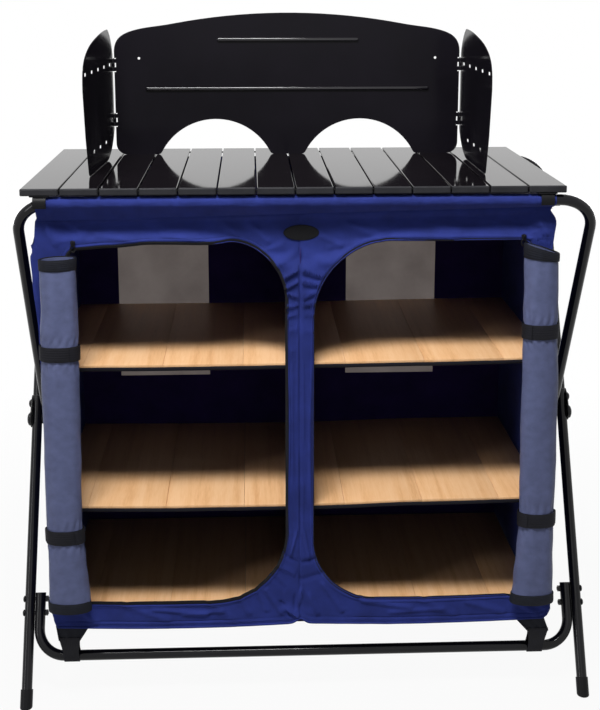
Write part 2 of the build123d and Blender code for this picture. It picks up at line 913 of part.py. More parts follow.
with BuildPart() as screen_hinge_pins:
    for side in sides:
        for level in hinge_levels:
            low = worktop_top + level - 1.5 * knuckle_pitch
            with BuildSketch(Plane.XY.offset(low)):
                with Locations((worktop_shift + side * screen_half, hinge_y)):
                    Circle(pin_r)
            extrude(amount=3 * knuckle_pitch + 0.6)
            with BuildSketch(Plane.XY.offset(low + 3 * knuckle_pitch + 0.2)):
                with Locations((worktop_shift + side * screen_half, hinge_y)):
                    Circle(pin_head_r)
            extrude(amount=1.0)
save(screen_hinge_pins.part, "screen_hinge_pins")

wing_slots = [37.0 + 65.0 * step for step in range(5)]
slot_size = (18.0, 6.0)


def screen_wing(side, angle):
    """One wing, drawn flat: local x runs out from the hinge, local y is height."""
    out = Vector(side * cos(radians(angle)), -sin(radians(angle)), 0)
    normal = Vector(-out.Y, out.X, 0) * side
    origin = Vector(worktop_shift + side * screen_half, hinge_y, worktop_top)
    flat = Plane(origin=origin, x_dir=out, z_dir=normal)
    lift = -1 if flat.y_dir.Z < 0 else 1
    with BuildPart() as wing:
        with BuildSketch(flat.offset(sheet_offset)) as face:
            with BuildLine():
                Spline(
                    (55, lift * 248), (186, lift * 237), (268, lift * 220), (313, lift * 195),
                    (324, lift * 152), tangents=((1, 0), (0, -lift)),
                )
                Polyline((324, lift * 152), (310, lift * 70), (292, lift * 12))
                ThreePointArc((292, lift * 12), (288, lift * 4), (280, lift * 0.5))
                Line((280, lift * 0.5), (96, lift * 0.5))
                ThreePointArc((96, lift * 0.5), (40, lift * 18), (edge_gap, lift * 52))
                Line((edge_gap, lift * 52), (edge_gap, lift * 198))
                ThreePointArc((edge_gap, lift * 198), (24, lift * 230), (55, lift * 248))
            make_face()
            with Locations(*[(s, lift * 180) for s in wing_slots]):
                SlotOverall(*slot_size, mode=Mode.SUBTRACT)
            with Locations(*[(s, lift * 38) for s in wing_slots[1:4]]):
                SlotOverall(*slot_size, mode=Mode.SUBTRACT)
            with Locations(*[(0, lift * level) for level in hinge_levels]):
                Rectangle(2 * pocket_reach, pocket_high, mode=Mode.SUBTRACT)
        extrude(amount=sheet)
        for level in hinge_levels:
            knuckle_plane = Plane(
                origin=origin + Vector(0, 0, level - knuckle_high / 2), x_dir=out, z_dir=(0, 0, 1)
            )
            sense = 1 if knuckle_plane.y_dir.dot(normal) > 0 else -1
            with BuildSketch(knuckle_plane):
                Circle(knuckle_r)
                with Locations(((pocket_reach + 1) / 2, sense * (sheet_offset + sheet / 2))):
                    Rectangle(pocket_reach + 1, sheet)
                Circle(wing_hole_r, mode=Mode.SUBTRACT)
            extrude(amount=knuckle_high)
    return wing


save(screen_wing(-1, left_wing_angle).part, "screen_left")
save(screen_wing(1, right_wing_angle).part, "screen_right")
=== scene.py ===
import bpy
import math
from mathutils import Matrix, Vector, noise


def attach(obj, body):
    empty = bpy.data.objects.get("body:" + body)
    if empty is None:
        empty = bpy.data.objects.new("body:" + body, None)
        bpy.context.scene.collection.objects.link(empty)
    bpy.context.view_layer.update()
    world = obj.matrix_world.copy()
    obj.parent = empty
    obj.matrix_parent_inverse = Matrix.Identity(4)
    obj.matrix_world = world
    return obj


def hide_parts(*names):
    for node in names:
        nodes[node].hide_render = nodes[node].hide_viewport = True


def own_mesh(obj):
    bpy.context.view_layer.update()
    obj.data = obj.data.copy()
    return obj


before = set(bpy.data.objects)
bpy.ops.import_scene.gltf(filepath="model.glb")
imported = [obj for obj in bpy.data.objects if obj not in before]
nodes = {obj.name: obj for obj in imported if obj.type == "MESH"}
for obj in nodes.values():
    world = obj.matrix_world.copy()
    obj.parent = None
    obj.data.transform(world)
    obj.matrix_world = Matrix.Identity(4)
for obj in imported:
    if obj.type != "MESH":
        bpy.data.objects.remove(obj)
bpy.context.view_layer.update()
sides = ("left", "right")
print("stage: frame loaded,", len(nodes), "CAD nodes")


# helpers


def deselectAll():
    bpy.ops.object.select_all(action="DESELECT")


def pick(piece):
    # makes one piece the only selected and active one
    deselectAll()
    piece.select_set(True)
    bpy.context.view_layer.objects.active = piece


def addPrimitive(operator, scale=(1, 1, 1), **settings):
    # adds one primitive, stretches it and puts its place, turn and size into its mesh
    deselectAll()
    operator(**settings)
    piece = bpy.context.object
    piece.scale = scale
    bpy.ops.object.transform_apply(location=True, rotation=True, scale=True)
    return piece


def applyModifier(piece, kind, **settings):
    pick(piece)
    modifier = piece.modifiers.new(kind.title(), kind)
    for key, value in settings.items():
        setattr(modifier, key, value)
    bpy.ops.object.modifier_apply(modifier=modifier.name)


def smooth(piece, angle):
    pick(piece)
    bpy.ops.object.shade_smooth_by_angle(angle=math.radians(angle))


def clamp(value, low=0.0, high=1.0):
    return max(low, min(high, value))


def mix(a, b, share):
    return a + (b - a) * share


def ease(value):
    value = clamp(value)
    return value * value * (3 - 2 * value)


def fade(value, start, end):
    # 0 up to start and 1 from end on, whichever way they lie
    return ease((value - start) / (end - start))


def hump(away, height, half):
    # a soft ridge: its full height where away is 0, next to nothing at twice its half width
    return height * math.exp(-((away / half) ** 2))


def arch(share):
    # 0 at both ends and 1 in the middle
    return math.sin(math.pi * share)


def ripple(x, y, z, size, seed):
    # smooth noise from -1 to 1 whose bumps are about one size across
    return noise.noise(Vector((x / size + 17.3 * seed, y / size, z / size)))


def waves(x, y, layers):
    # the sum of several ripples, each given by its height, size and seed
    return sum(height * ripple(x, y, 0.0, size, seed) for height, size, seed in layers)


def alongPairs(pairs, value):
    # reads a list of (value, result) pairs that runs downwards
    if value >= pairs[0][0]:
        return pairs[0][1]
    for (high, first), (low, second) in zip(pairs, pairs[1:]):
        if value >= low:
            return mix(second, first, fade(value, low, high))
    return pairs[-1][1]


def editAll(piece, operator, **settings):
    # runs one edit mode operator on the whole mesh
    pick(piece)
    bpy.ops.object.mode_set(mode="EDIT")
    bpy.ops.mesh.select_all(action="SELECT")
    operator(**settings)
    bpy.ops.object.mode_set(mode="OBJECT")


def mergeDoubles(piece, distance=0.00005):
    editAll(piece, bpy.ops.mesh.remove_doubles, threshold=distance)


def recalculate(piece):
    editAll(piece, bpy.ops.mesh.normals_make_consistent, inside=False)


def faceOut(piece, direction):
    # turns all faces over when most of them look away from the direction
    look = Vector(direction)
    if sum(face.normal.dot(look) * face.area for face in piece.data.polygons) < 0:
        editAll(piece, bpy.ops.mesh.flip_normals)


def clothGrid(name, columns, rows, flat, place, joinColumns=False):
    # a flat grid whose points are laid by place(u, v); its UV map is in metres
    piece = addPrimitive(
        bpy.ops.mesh.primitive_grid_add, x_subdivisions=columns, y_subdivisions=rows, size=1,
        location=(0.5, 0.5, 0),
    )
    piece.name = piece.data.name = name
    for corner in piece.data.uv_layers.active.data:
        corner.uv = (corner.uv[0] * flat[0], corner.uv[1] * flat[1])
    for vertex in piece.data.vertices:
        vertex.co = place(clamp(vertex.co.x), clamp(vertex.co.y))
    if joinColumns:
        mergeDoubles(piece)
    return piece


def mapFlat(piece):
    # the UV map of cloth that hangs flat is its own place
    for index, corner in enumerate(piece.data.loops):
        spot = piece.data.vertices[corner.vertex_index].co
        piece.data.uv_layers.active.data[index].uv = (spot.x, spot.z)


def joinPieces(pieces, name):
    deselectAll()
    for piece in pieces:
        piece.select_set(True)
    bpy.context.view_layer.objects.active = pieces[0]
    bpy.ops.object.join()
    pieces[0].name = pieces[0].data.name = name
    return pieces[0]


def finishPiece(piece, material, body, slot, *replaced):
    piece.data.materials.clear()
    piece.data.materials.append(material)
    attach(piece, body)
    if replaced:
        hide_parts(*replaced)


def finishCloth(piece, outward, thick, material, body, slot, node):
    # gives a single layer its outer side and its thickness first
    faceOut(piece, outward)
    applyModifier(piece, "SOLIDIFY", thickness=thick, offset=-1.0)
    smooth(piece, 60)
    finishPiece(piece, material, body, slot, node)


# materials


def newMaterial(name, colour, roughness, **sockets):
    material = bpy.data.materials.new(name)
    material.use_nodes = True
    shader = material.node_tree.nodes["Principled BSDF"]
    shader.inputs["Base Color"].default_value = (*colour, 1)
    shader.inputs["Roughness"].default_value = roughness
    for key, value in sockets.items():
        shader.inputs[key.replace("_", " ")].default_value = value
    return material, material.node_tree, shader


def addNode(tree, kind, inputs=None, **settings):
    node = tree.nodes.new(kind)
    for key, value in settings.items():
        setattr(node, key, value)
    for key, value in (inputs or {}).items():
        node.inputs[key].default_value = value
    return node


def coordinates(tree, kind, scale=(1, 1, 1)):
    # the piece's own UV map in metres, or its Object coordinates
    source = addNode(tree, "ShaderNodeTexCoord")
    mapping = addNode(tree, "ShaderNodeMapping", {"Scale": scale})
    tree.links.new(source.outputs[kind], mapping.inputs["Vector"])
    return mapping.outputs["Vector"]


def noiseNode(tree, vector, scale, detail=3.0, rough=0.55):
    node = addNode(tree, "ShaderNodeTexNoise", {"Scale": scale, "Detail": detail, "Roughness": rough})
    tree.links.new(vector, node.inputs["Vector"])
    return node.outputs["Fac"]


def waveNode(tree, vector, pitch, axis):
    # straight bands, one every pitch metres
    node = addNode(tree, "ShaderNodeTexWave", {"Scale": 0.314159 / pitch}, bands_direction=axis)
    tree.links.new(vector, node.inputs["Vector"])
    return node.outputs["Fac"]


def rampNode(tree, value, stops):
    node = addNode(tree, "ShaderNodeValToRGB")
    ramp = node.color_ramp
    while len(ramp.elements) < len(stops):
        ramp.elements.new(0.5)
    for element, (place, colour) in zip(ramp.elements, stops):
        element.position = place
        element.color = (*colour, 1)
    tree.links.new(value, node.inputs["Fac"])
    return node.outputs["Color"]


def mathNode(tree, operation, a, b):
    node = addNode(tree, "ShaderNodeMath", operation=operation)
    for socket, value in zip(node.inputs, (a, b)):
        if isinstance(value, (int, float)):
            socket.default_value = value
        else:
            tree.links.new(value, socket)
    return node.outputs["Value"]


def bumpNode(tree, shader, height, distance):
    node = addNode(tree, "ShaderNodeBump", {"Strength": 1.0, "Distance": distance})
    tree.links.new(height, node.inputs["Height"])
    tree.links.new(node.outputs["Normal"], shader.inputs["Normal"])


def shades(colour, low, high):
    return tuple(c * low for c in colour), tuple(c * high for c in colour)


def mottle(tree, shader, value, dark, bright, socket="Base Color", low=0.3, high=0.7):
    # two shades of one finish, blended by a noise
    tree.links.new(rampNode(tree, value, ((low, dark), (high, bright))), shader.inputs[socket])


def clothMaterial(name, colour, look):
    # woven cloth: threads from the UV map, uneven dye and a slight nap
    material, tree, shader = newMaterial(
        name, colour, look["roughness"], Sheen_Weight=look["sheen"], Sheen_Roughness=0.5,
        Specular_IOR_Level=look["specular"],
    )
    uv = coordinates(tree, "UV")
    dye = noiseNode(tree, uv, look["patch"], 4.0)
    mottle(tree, shader, dye, *shades(colour, 1 - look["uneven"], 1 + look["uneven"]))
    warp = waveNode(tree, uv, look["thread"], "X")
    weft = waveNode(tree, uv, look["thread"] * look["across"], "Y")
    slub = mathNode(tree, "MULTIPLY", noiseNode(tree, uv, look["slub"], 2.0), look["slubShare"])
    height = mathNode(tree, "ADD", mathNode(tree, "MAXIMUM", warp, weft), slub)
    bumpNode(tree, shader, height, look["depth"])
    return material


def rearClothMaterial(name, outer, inner, look):
    # the same cloth seen from both sides: dyed navy on the outside; its inside gets a dark colour that is
    # painted shade of the unlit interior
    material = clothMaterial(name, inner, look)
    tree = material.node_tree
    base = tree.nodes["Principled BSDF"].inputs["Base Color"]
    dye = noiseNode(tree, coordinates(tree, "UV"), look["patch"], 4.0)
    dark, bright = shades(outer, 1 - look["uneven"], 1 + look["uneven"])
    facing = addNode(tree, "ShaderNodeSeparateXYZ")
    tree.links.new(addNode(tree, "ShaderNodeTexCoord").outputs["Normal"], facing.inputs[0])
    both = addNode(tree, "ShaderNodeMix", data_type="RGBA")
    first, second, result = both.inputs[6], both.inputs[7], both.outputs[2]  # the colour sockets
    tree.links.new(mathNode(tree, "GREATER_THAN", facing.outputs["Y"], 0.0), both.inputs["Factor"])
    tree.links.new(base.links[0].from_socket, first)
    tree.links.new(rampNode(tree, dye, ((0.3, dark), (0.7, bright))), second)
    tree.links.new(result, base)
    return material


def metalPaint(name, colour, look):
    # enamel or powder coat with a faint orange peel and fingerprints in its gloss
    material, tree, shader = newMaterial(
        name, colour, look["roughness"], Specular_IOR_Level=look["specular"],
        Specular_Tint=look.get("tint", (1, 1, 1, 1)),
    )
    place = coordinates(tree, "Object")
    smear = noiseNode(tree, place, look["smear"], 5.0, 0.6)
    mottle(tree, shader, smear, *shades((look["roughness"],) * 3, 0.75, 1.35), "Roughness", 0.35)
    mottle(tree, shader, smear, *shades(colour, 0.8, 1.25), high=0.75)
    bumpNode(tree, shader, noiseNode(tree, place, look["peel"], 2.0), look["peelDepth"])
    return material


def mouldedPlastic(name, colour, roughness):
    material, tree, shader = newMaterial(name, colour, roughness, Specular_IOR_Level=0.12)
    place = coordinates(tree, "Object")
    mottle(tree, shader, noiseNode(tree, place, 35.0), *shades(colour, 0.85, 1.2))
    bumpNode(tree, shader, noiseNode(tree, place, 900.0, 2.0), 0.00006)
    return material


def woodMaterial():
    # beech faced board: fine streaks and short flecks that run from front to back
    look = {
        "pale": (0.87, 0.535, 0.29), "mid": (0.82, 0.475, 0.235), "dark": (0.72, 0.385, 0.175),
        "streak": (70, 2.6, 70), "fleck": (420, 34, 420),
    }
    material, tree, shader = newMaterial("beechBoard", look["pale"], 0.42, Specular_IOR_Level=0.4)
    streak = noiseNode(tree, coordinates(tree, "Object", look["streak"]), 1.0, 6.0, 0.6)
    fleck = noiseNode(tree, coordinates(tree, "Object", look["fleck"]), 1.0, 3.0, 0.6)
    tone = mathNode(
        tree, "ADD", mathNode(tree, "MULTIPLY", streak, 0.72), mathNode(tree, "MULTIPLY", fleck, 0.28),
    )
    colour = rampNode(tree, tone, ((0.33, look["dark"]), (0.46, look["mid"]), (0.6, look["pale"])))
    tree.links.new(colour, shader.inputs["Base Color"])
    mottle(tree, shader, streak, (0.34,) * 3, (0.5,) * 3, "Roughness")
    bumpNode(tree, shader, fleck, 0.00008)
    return material


def filmMaterial():
    # grey translucent film, a little wavy and scuffed
    material, tree, shader = newMaterial(
        "windowFilm", (0.108, 0.092, 0.087), 0.35, Transmission_Weight=0.96, IOR=1.3, Specular_IOR_Level=0.3,
    )
    place = coordinates(tree, "Object")
    scuff = noiseNode(tree, place, 14.0, 5.0, 0.65)
    mottle(tree, shader, scuff, (0.088, 0.074, 0.070), (0.128, 0.110, 0.104))
    bumpNode(tree, shader, noiseNode(tree, place, 9.0, 2.0), 0.0006)
    return material


def ribbedWebbing(name, colour, pitch, axis):
    # webbing or binding with ribs across its length
    material, tree, shader = newMaterial(name, colour, 0.72, Specular_IOR_Level=0.18)
    uv = coordinates(tree, "UV")
    mottle(tree, shader, noiseNode(tree, uv, 60.0, 4.0), *shades(colour, 0.7, 1.35))
    fuzz = mathNode(tree, "MULTIPLY", noiseNode(tree, uv, 900.0, 2.0), 0.5)
    bumpNode(tree, shader, mathNode(tree, "ADD", waveNode(tree, uv, pitch, axis), fuzz), 0.0003)
    return material


def platedSteel():
    material, tree, shader = newMaterial("platedSteel", (0.55, 0.55, 0.57), 0.3, Metallic=1.0)
    patchy = noiseNode(tree, coordinates(tree, "Object"), 120.0, 4.0)
    mottle(tree, shader, patchy, (0.24,) * 3, (0.42,) * 3, "Roughness")
    mottle(tree, shader, patchy, (0.42, 0.42, 0.44), (0.62, 0.62, 0.65))
    return material


navyColour = (0.0200, 0.0325, 0.192)
# the inside colour is far darker than the cloth's real grey-blue inner side: painted shade of the unlit
# interior
paintedShadeInnerColour = (0.0270, 0.0155, 0.118)
outerCloth = {
    "roughness": 0.78, "sheen": 0.03, "specular": 0.16, "patch": 22.0, "uneven": 0.2, "thread": 0.0009,
    "across": 1.15, "slub": 330.0, "slubShare": 1.2, "depth": 0.00022,
}
coatedCloth = {
    "roughness": 0.36, "sheen": 0.0, "specular": 0.14, "patch": 60.0, "uneven": 0.12, "thread": 0.0011,
    "across": 1.0, "slub": 520.0, "slubShare": 1.6, "depth": 0.00016,
}
tubeLook = {"roughness": 0.13, "specular": 0.22, "smear": 14.0, "peel": 420.0, "peelDepth": 0.00003}
slatLook = {
    "roughness": 0.055, "specular": 0.2, "smear": 6.0, "peel": 260.0, "peelDepth": 0.000006,
    "tint": (1.0, 0.92, 0.88, 1),
}
shieldLook = {"roughness": 0.14, "specular": 0.07, "smear": 7.0, "peel": 240.0, "peelDepth": 0.000012}

navyCloth = clothMaterial("navyCloth", navyColour, outerCloth)
# cloth for the top, divider and floor inside, in that painted-shade colour
paintedShadeInnerCloth = clothMaterial("paintedShadeInnerCloth", paintedShadeInnerColour, outerCloth)
rearCanvas = rearClothMaterial("rearCanvas", navyColour, paintedShadeInnerColour, outerCloth)
liningCloth = clothMaterial("liningCloth", (0.106, 0.123, 0.238), coatedCloth)
tubeEnamel = metalPaint("tubeEnamel", (0.004, 0.004, 0.006), tubeLook)
fittingPaint = metalPaint("fittingPaint", (0.005, 0.005, 0.007), dict(tubeLook, roughness=0.26))
slatEnamel = metalPaint("slatEnamel", (0.007, 0.0055, 0.007), slatLook)
shieldEnamel = metalPaint("shieldEnamel", (0.006, 0.005, 0.008), shieldLook)
ribEnamel = metalPaint("ribEnamel", (0.006, 0.005, 0.008), dict(shieldLook, roughness=0.12, specular=0.5))
endPlastic = mouldedPlastic("endPlastic", (0.005, 0.005, 0.006), 0.42)
capPlastic = mouldedPlastic("capPlastic", (0.022, 0.022, 0.025), 0.42)
cordSleeve = mouldedPlastic("cordSleeve", (0.02, 0.02, 0.02), 0.8)
zipPlastic = mouldedPlastic("zipPlastic", (0.006, 0.006, 0.008), 0.32)
beechBoard = woodMaterial()
windowFilm = filmMaterial()
steel = platedSteel()
binding = ribbedWebbing("binding", (0.0055, 0.0065, 0.011), 0.0022, "Y")
webbing = ribbedWebbing("webbing", (0.0055, 0.0055, 0.0085), 0.0026, "Y")
tapeWeave = ribbedWebbing("tapeWeave", (0.004, 0.004, 0.006), 0.0012, "X")
patchTwill = ribbedWebbing("patchTwill", (0.0035, 0.0035, 0.0045), 0.0009, "DIAGONAL")
shelfWeave = ribbedWebbing("shelfWeave", (0.004, 0.004, 0.008), 0.0012, "X")
sewingThread = ribbedWebbing("sewingThread", (0.034, 0.050, 0.215), 0.0006, "X")

finishes = {
    tubeEnamel: ("outer_upper_tube", "outer_lower_legs", "front_bar", "inner_upper_tube", "inner_lower_legs"),
    steel: ("outer_joiners", "inner_joiners", "hook_rivets"),
    fittingPaint: ("front_bar_bolts", "pivot_plates", "pivot_bolts"),
    endPlastic: ("outer_feet", "inner_feet", "pivot_spacers", "hooks_front", "hooks_rear"),
    slatEnamel: ("slats", "end_slats"),
    capPlastic: ("slat_end_caps",),
    cordSleeve: ("slat_cords",),
    shieldEnamel: ("screen_back", "screen_left", "screen_right", "screen_hinge_pins"),
    zipPlastic: ("zip_pull_left", "zip_pull_right"),
}
for material, names in finishes.items():
    for name in names:
        nodes[name].data.materials.clear()
        nodes[name].data.materials.append(material)
print("stage: materials on the rigid nodes")


# camera, light and floor

view = {
    "place": (-0.0967, -2.2758, 1.2952), "down": 11.52, "right": 2.34, "focus": 1232.33, "high": 710,
    "centreRow": 232.36,
}
cameraData = bpy.data.cameras.new("photoCamera")
camera = bpy.data.objects.new("photoCamera", cameraData)
bpy.context.scene.collection.objects.link(camera)
camera.location = view["place"]
camera.rotation_euler = (math.radians(90 - view["down"]), 0, math.radians(-view["right"]))
cameraData.sensor_width = 36
cameraData.lens = 36 * view["focus"] / view["high"]
cameraData.shift_y = (view["centreRow"] - view["high"] / 2) / view["high"]
cameraData.clip_start = 0.05
cameraData.clip_end = 60
bpy.context.scene.camera = camera


def softLight(name, place, aim, size, power):
    lampData = bpy.data.lights.new(name, "AREA")
    lampData.shape = "RECTANGLE"
    lampData.size, lampData.size_y = size
    lampData.energy = power
    lamp = bpy.data.objects.new(name, lampData)
    bpy.context.scene.collection.objects.link(lamp)
    lamp.location = place
    lamp.rotation_euler = (Vector(aim) - Vector(place)).to_track_quat("-Z", "Y").to_euler()


softLight("keyLight", (-0.35, -1.27, 2.75), (0.0, -0.2, 0.5), (0.95, 0.45), 69)
softLight("leftLight", (-2.6, -1.9, 1.3), (0.0, -0.1, 0.6), (0.35, 1.8), 15)
softLight("frontLight", (0.1, -3.4, 1.5), (0.0, -0.2, 0.6), (1.2, 1.2), 3)
softLight("rightLight", (2.6, -0.9, 1.4), (0.0, 0.0, 0.6), (0.8, 1.6), 1.5)
softLight("rearLeftLight", (-1.7, 2.3, 1.0), (0.0, 0.2, 0.6), (1.0, 1.2), 26)
softLight("rearRightLight", (1.7, 2.3, 1.0), (0.0, 0.2, 0.6), (1.0, 1.2), 26)


def seenDirectly(tree):
    # 1 where the lens, gloss or film looks at it, 0 for the light that it gives
    path = addNode(tree, "ShaderNodeLightPath")
    seen = mathNode(tree, "MAXIMUM", path.outputs["Is Camera Ray"], path.outputs["Is Glossy Ray"])
    return mathNode(tree, "MAXIMUM", seen, path.outputs["Is Transmission Ray"])


def backdropWorld():
    # plain white to look at, and a soft even light on the object
    world = bpy.data.worlds.new("studio")
    bpy.context.scene.world = world
    world.use_nodes = True
    tree = world.node_tree
    background = tree.nodes["Background"]
    ambient = 0.06
    strength = mathNode(tree, "ADD", mathNode(tree, "MULTIPLY", seenDirectly(tree), 1 - ambient), ambient)
    background.inputs["Color"].default_value = (1, 1, 1, 1)
    tree.links.new(strength, background.inputs["Strength"])


def paleFloor():
    # catches the shadow near the feet and fades to white further out
    floor = addPrimitive(bpy.ops.mesh.primitive_plane_add, size=30)
    floor.name = "floor"
    material, tree, shader = newMaterial("paleFloor", (0.34, 0.34, 0.34), 0.9)
    glow = addNode(tree, "ShaderNodeEmission", {"Color": (1, 1, 1, 1), "Strength": 1.0})
    blend = addNode(tree, "ShaderNodeMixShader")
    away = addNode(tree, "ShaderNodeVectorMath", operation="LENGTH")
    whiter = addNode(
        tree, "ShaderNodeMapRange", {"From Min": 0.6, "From Max": 1.8, "To Min": 0.94, "To Max": 1.0},
    )
    tree.links.new(coordinates(tree, "Object"), away.inputs[0])
    tree.links.new(away.outputs["Value"], whiter.inputs["Value"])
    share = mathNode(tree, "MULTIPLY", seenDirectly(tree), whiter.outputs["Result"])
    tree.links.new(share, blend.inputs["Fac"])
    tree.links.new(shader.outputs["BSDF"], blend.inputs[1])
    tree.links.new(glow.outputs["Emission"], blend.inputs[2])
    tree.links.new(blend.outputs["Shader"], tree.nodes["Material Output"].inputs["Surface"])
    floor.data.materials.append(material)


backdropWorld()
paleFloor()
bpy.context.scene.view_settings.view_transform = "Standard"
print("stage: camera, light and floor")


# front of the cloth cabinet

front = {
    "face": -0.2180, "left": -0.454, "right": 0.434, "low": 0.150, "high": 0.917, "seam": -0.012,
    "thick": 0.0012, "doorLow": 0.199, "doorHigh": 0.860, "recess": 0.0112, "flare": -0.0022,
    "hem": 0.0112, "crease": 1.4, "flattest": -0.0030, "sag": 0.005, "edgeRollAt": 0.0066,
    # heights and half widths of soft ridges
    "edgeRoll": (0.0014, 0.0017), "pinch": (0.0012, 0.0025), "notch": (0.0085, 0.010),
    "headerArch": (0.05, 0.11), "hemRidge": (0.0010, 0.0014),
    "wave": ((0.0010, 0.11, 1), (0.0005, 0.03, 2)),
    # from where to where an effect sets in
    "pinched": (0.858, 0.848), "leaning": (0.200, 0.155), "sagging": (0.30, 0.15),
    "leftUneven": (-0.40, -0.45), "rightUneven": (0.385, 0.430),
}
doorways = {
    "left": {"inner": -0.037, "outer": -0.407, "innerLow": 0.128, "innerHigh": 0.104, "outerR": 0.016},
    "right": {"inner": 0.011, "outer": 0.386, "innerLow": 0.112, "innerHigh": 0.138, "outerR": 0.016},
}

# ridges of cloth on the front: x0, z0, x1, z1, half width, height, all in millimetres
frontRidges = (
    # chevrons on the middle strip, above
    (-40, 796, -17, 809, 3.2, 4.6), (-8, 809, 26, 799, 3.2, 4.6), (-38, 777, -16, 789, 3.0, 4.2),
    (-8, 788, 20, 784, 3.0, 4.2), (-35, 769, -16, 761, 2.8, 3.6), (-8, 760, 15, 771, 2.8, 3.6),
    (-36, 743, -16, 748, 2.6, 3.0), (-8, 746, 11, 750, 2.6, 3.0), (-33, 727, -16, 731, 2.6, 2.2),
    (-8, 731, 10, 728, 2.6, 1.8), (-54, 818, -20, 836, 5, 2.6), (-4, 836, 40, 820, 5, 2.6),
    (-31, 700, -17, 705, 3, 1.4), (-8, 702, 8, 699, 3, 1.2), (-30, 664, -18, 668, 3, 0.9),
    (-86, 838, -40, 852, 5, 1.6), (36, 846, 90, 856, 6, 1.8),
    # along the seam of the strip
    (-16, 690, -17, 560, 1.6, 1.0), (-7, 640, -6, 500, 1.6, 1.0), (-26, 640, -25, 420, 2.4, 0.9),
    (4, 600, 4, 380, 2.4, 0.8), (-16, 480, -15, 330, 1.8, 1.2), (-7, 420, -8, 320, 1.8, 1.0),
    # where the strip widens below
    (-46, 288, -17, 268, 3.0, -3.0), (-10, 268, 18, 276, 3.0, -2.6), (-62, 268, -22, 246, 3.5, 2.6),
    (-12, 234, 34, 248, 4.0, -2.4), (-42, 180, -14, 164, 4.0, 4.0), (-48, 194, -30, 163, 2.2, -2.8),
    (-10, 216, -14, 188, 3.0, 3.4), (-22, 204, -22, 178, 2.0, -2.6), (28, 228, 64, 172, 5, 2.6),
    (48, 236, 92, 200, 5, 2.0), (-76, 218, -46, 170, 4.5, 2.8), (-96, 226, -72, 176, 5, 2.2),
    (4, 206, 20, 168, 3.4, 2.4), (-128, 214, -104, 170, 6, 2.0), (-64, 244, -40, 214, 3.2, -2.0),
    (-6, 330, 4, 276, 2.4, 2.2), (-18, 326, -30, 280, 2.4, 2.0),
    # header
    (-300, 905, -190, 868, 9, 1.8), (-150, 900, -120, 866, 7, 1.6), (-98, 890, -66, 856, 7, 2.2),
    (62, 892, 128, 862, 8, 2.4), (170, 905, 260, 866, 10, 1.8), (300, 900, 360, 872, 8, 1.6),
    (-410, 900, -380, 872, 7, 2.0), (392, 905, 412, 868, 5, 2.2), (-250, 872, -180, 863, 4, 1.8),
    (150, 868, 250, 864, 4, 1.6), (-360, 874, -290, 862, 5, 1.8), (20, 868, 60, 850, 5, 1.8),
    (-440, 884, -424, 858, 5, 2.4), (380, 862, 420, 863, 2.0, 1.6), (384, 853, 420, 854, 2.0, 1.6),
    (388, 872, 424, 873, 2.2, 1.4), (392, 884, 424, 886, 2.4, 1.2),
    # bottom band
    (-420, 196, -380, 158, 6, 2.4), (-330, 192, -250, 160, 7, 2.0), (-280, 182, -180, 172, 4, 2.2),
    (-226, 170, -150, 178, 4, 1.8), (-180, 194, -130, 158, 8, 1.6), (100, 192, 190, 176, 5, 2.2),
    (150, 168, 250, 174, 4, 1.8), (210, 192, 270, 160, 7, 1.8), (290, 186, 360, 164, 6, 2.2),
    (370, 196, 420, 160, 6, 2.8), (396, 186, 440, 172, 4, 2.6),
)

# uneven sides of the front cloth: (z, x) pairs from the top down
sideEdges = {
    "left": (
        (0.924, -0.456), (0.906, -0.4565), (0.895, -0.461), (0.864, -0.463), (0.859, -0.4695),
        (0.847, -0.467), (0.836, -0.471), (0.800, -0.469), (0.700, -0.462), (0.500, -0.459),
        (0.300, -0.460), (0.195, -0.464), (0.163, -0.457), (0.150, -0.4515),
    ),
    "right": (
        (0.924, 0.4225), (0.908, 0.4165), (0.902, 0.4250), (0.889, 0.4280), (0.864, 0.4250),
        (0.844, 0.4230), (0.800, 0.4280), (0.600, 0.4360), (0.300, 0.4420), (0.210, 0.4440),
        (0.1675, 0.4460), (0.156, 0.4400), (0.150, 0.4330),
    ),
}

# sag of the left doorway's upper edge: (x, drop) pairs from right to left
doorwaySag = ((-0.12, 0.0), (-0.166, 0.004), (-0.268, 0.0026), (-0.336, 0.0080), (-0.40, 0.0118))


def ridgeHeight(x, z):
    # sum of the soft ridges at a place given in metres
    total = 0.0
    for x0, z0, x1, z1, half, height in frontRidges:
        alongX, alongZ = x1 - x0, z1 - z0
        span = math.hypot(alongX, alongZ)
        awayX, awayZ = x * 1000 - x0, z * 1000 - z0
        along = (awayX * alongX + awayZ * alongZ) / span
        aside = abs(awayX * alongZ - awayZ * alongX) / span
        if -half < along < span + half and aside < 3 * half:
            ends = fade(along, -half, half / 2) * fade(along, span + half, span - half / 2)
            total += ends * hump(aside, height, half)
    return total / 1000


def leftEdge(z):
    return alongPairs(sideEdges["left"], z)


def rightEdge(z):
    return alongPairs(sideEdges["right"], z)


def bottomEdge(x):
    # each half of the lower edge sags, and the seam between them draws it up
    outer = front["left"] if x < front["seam"] else front["right"]
    sag = front["sag"] * arch(clamp((x - outer) / (front["seam"] - outer)))
    return front["low"] + 0.0005 - sag + hump(x - front["seam"], *front["notch"])


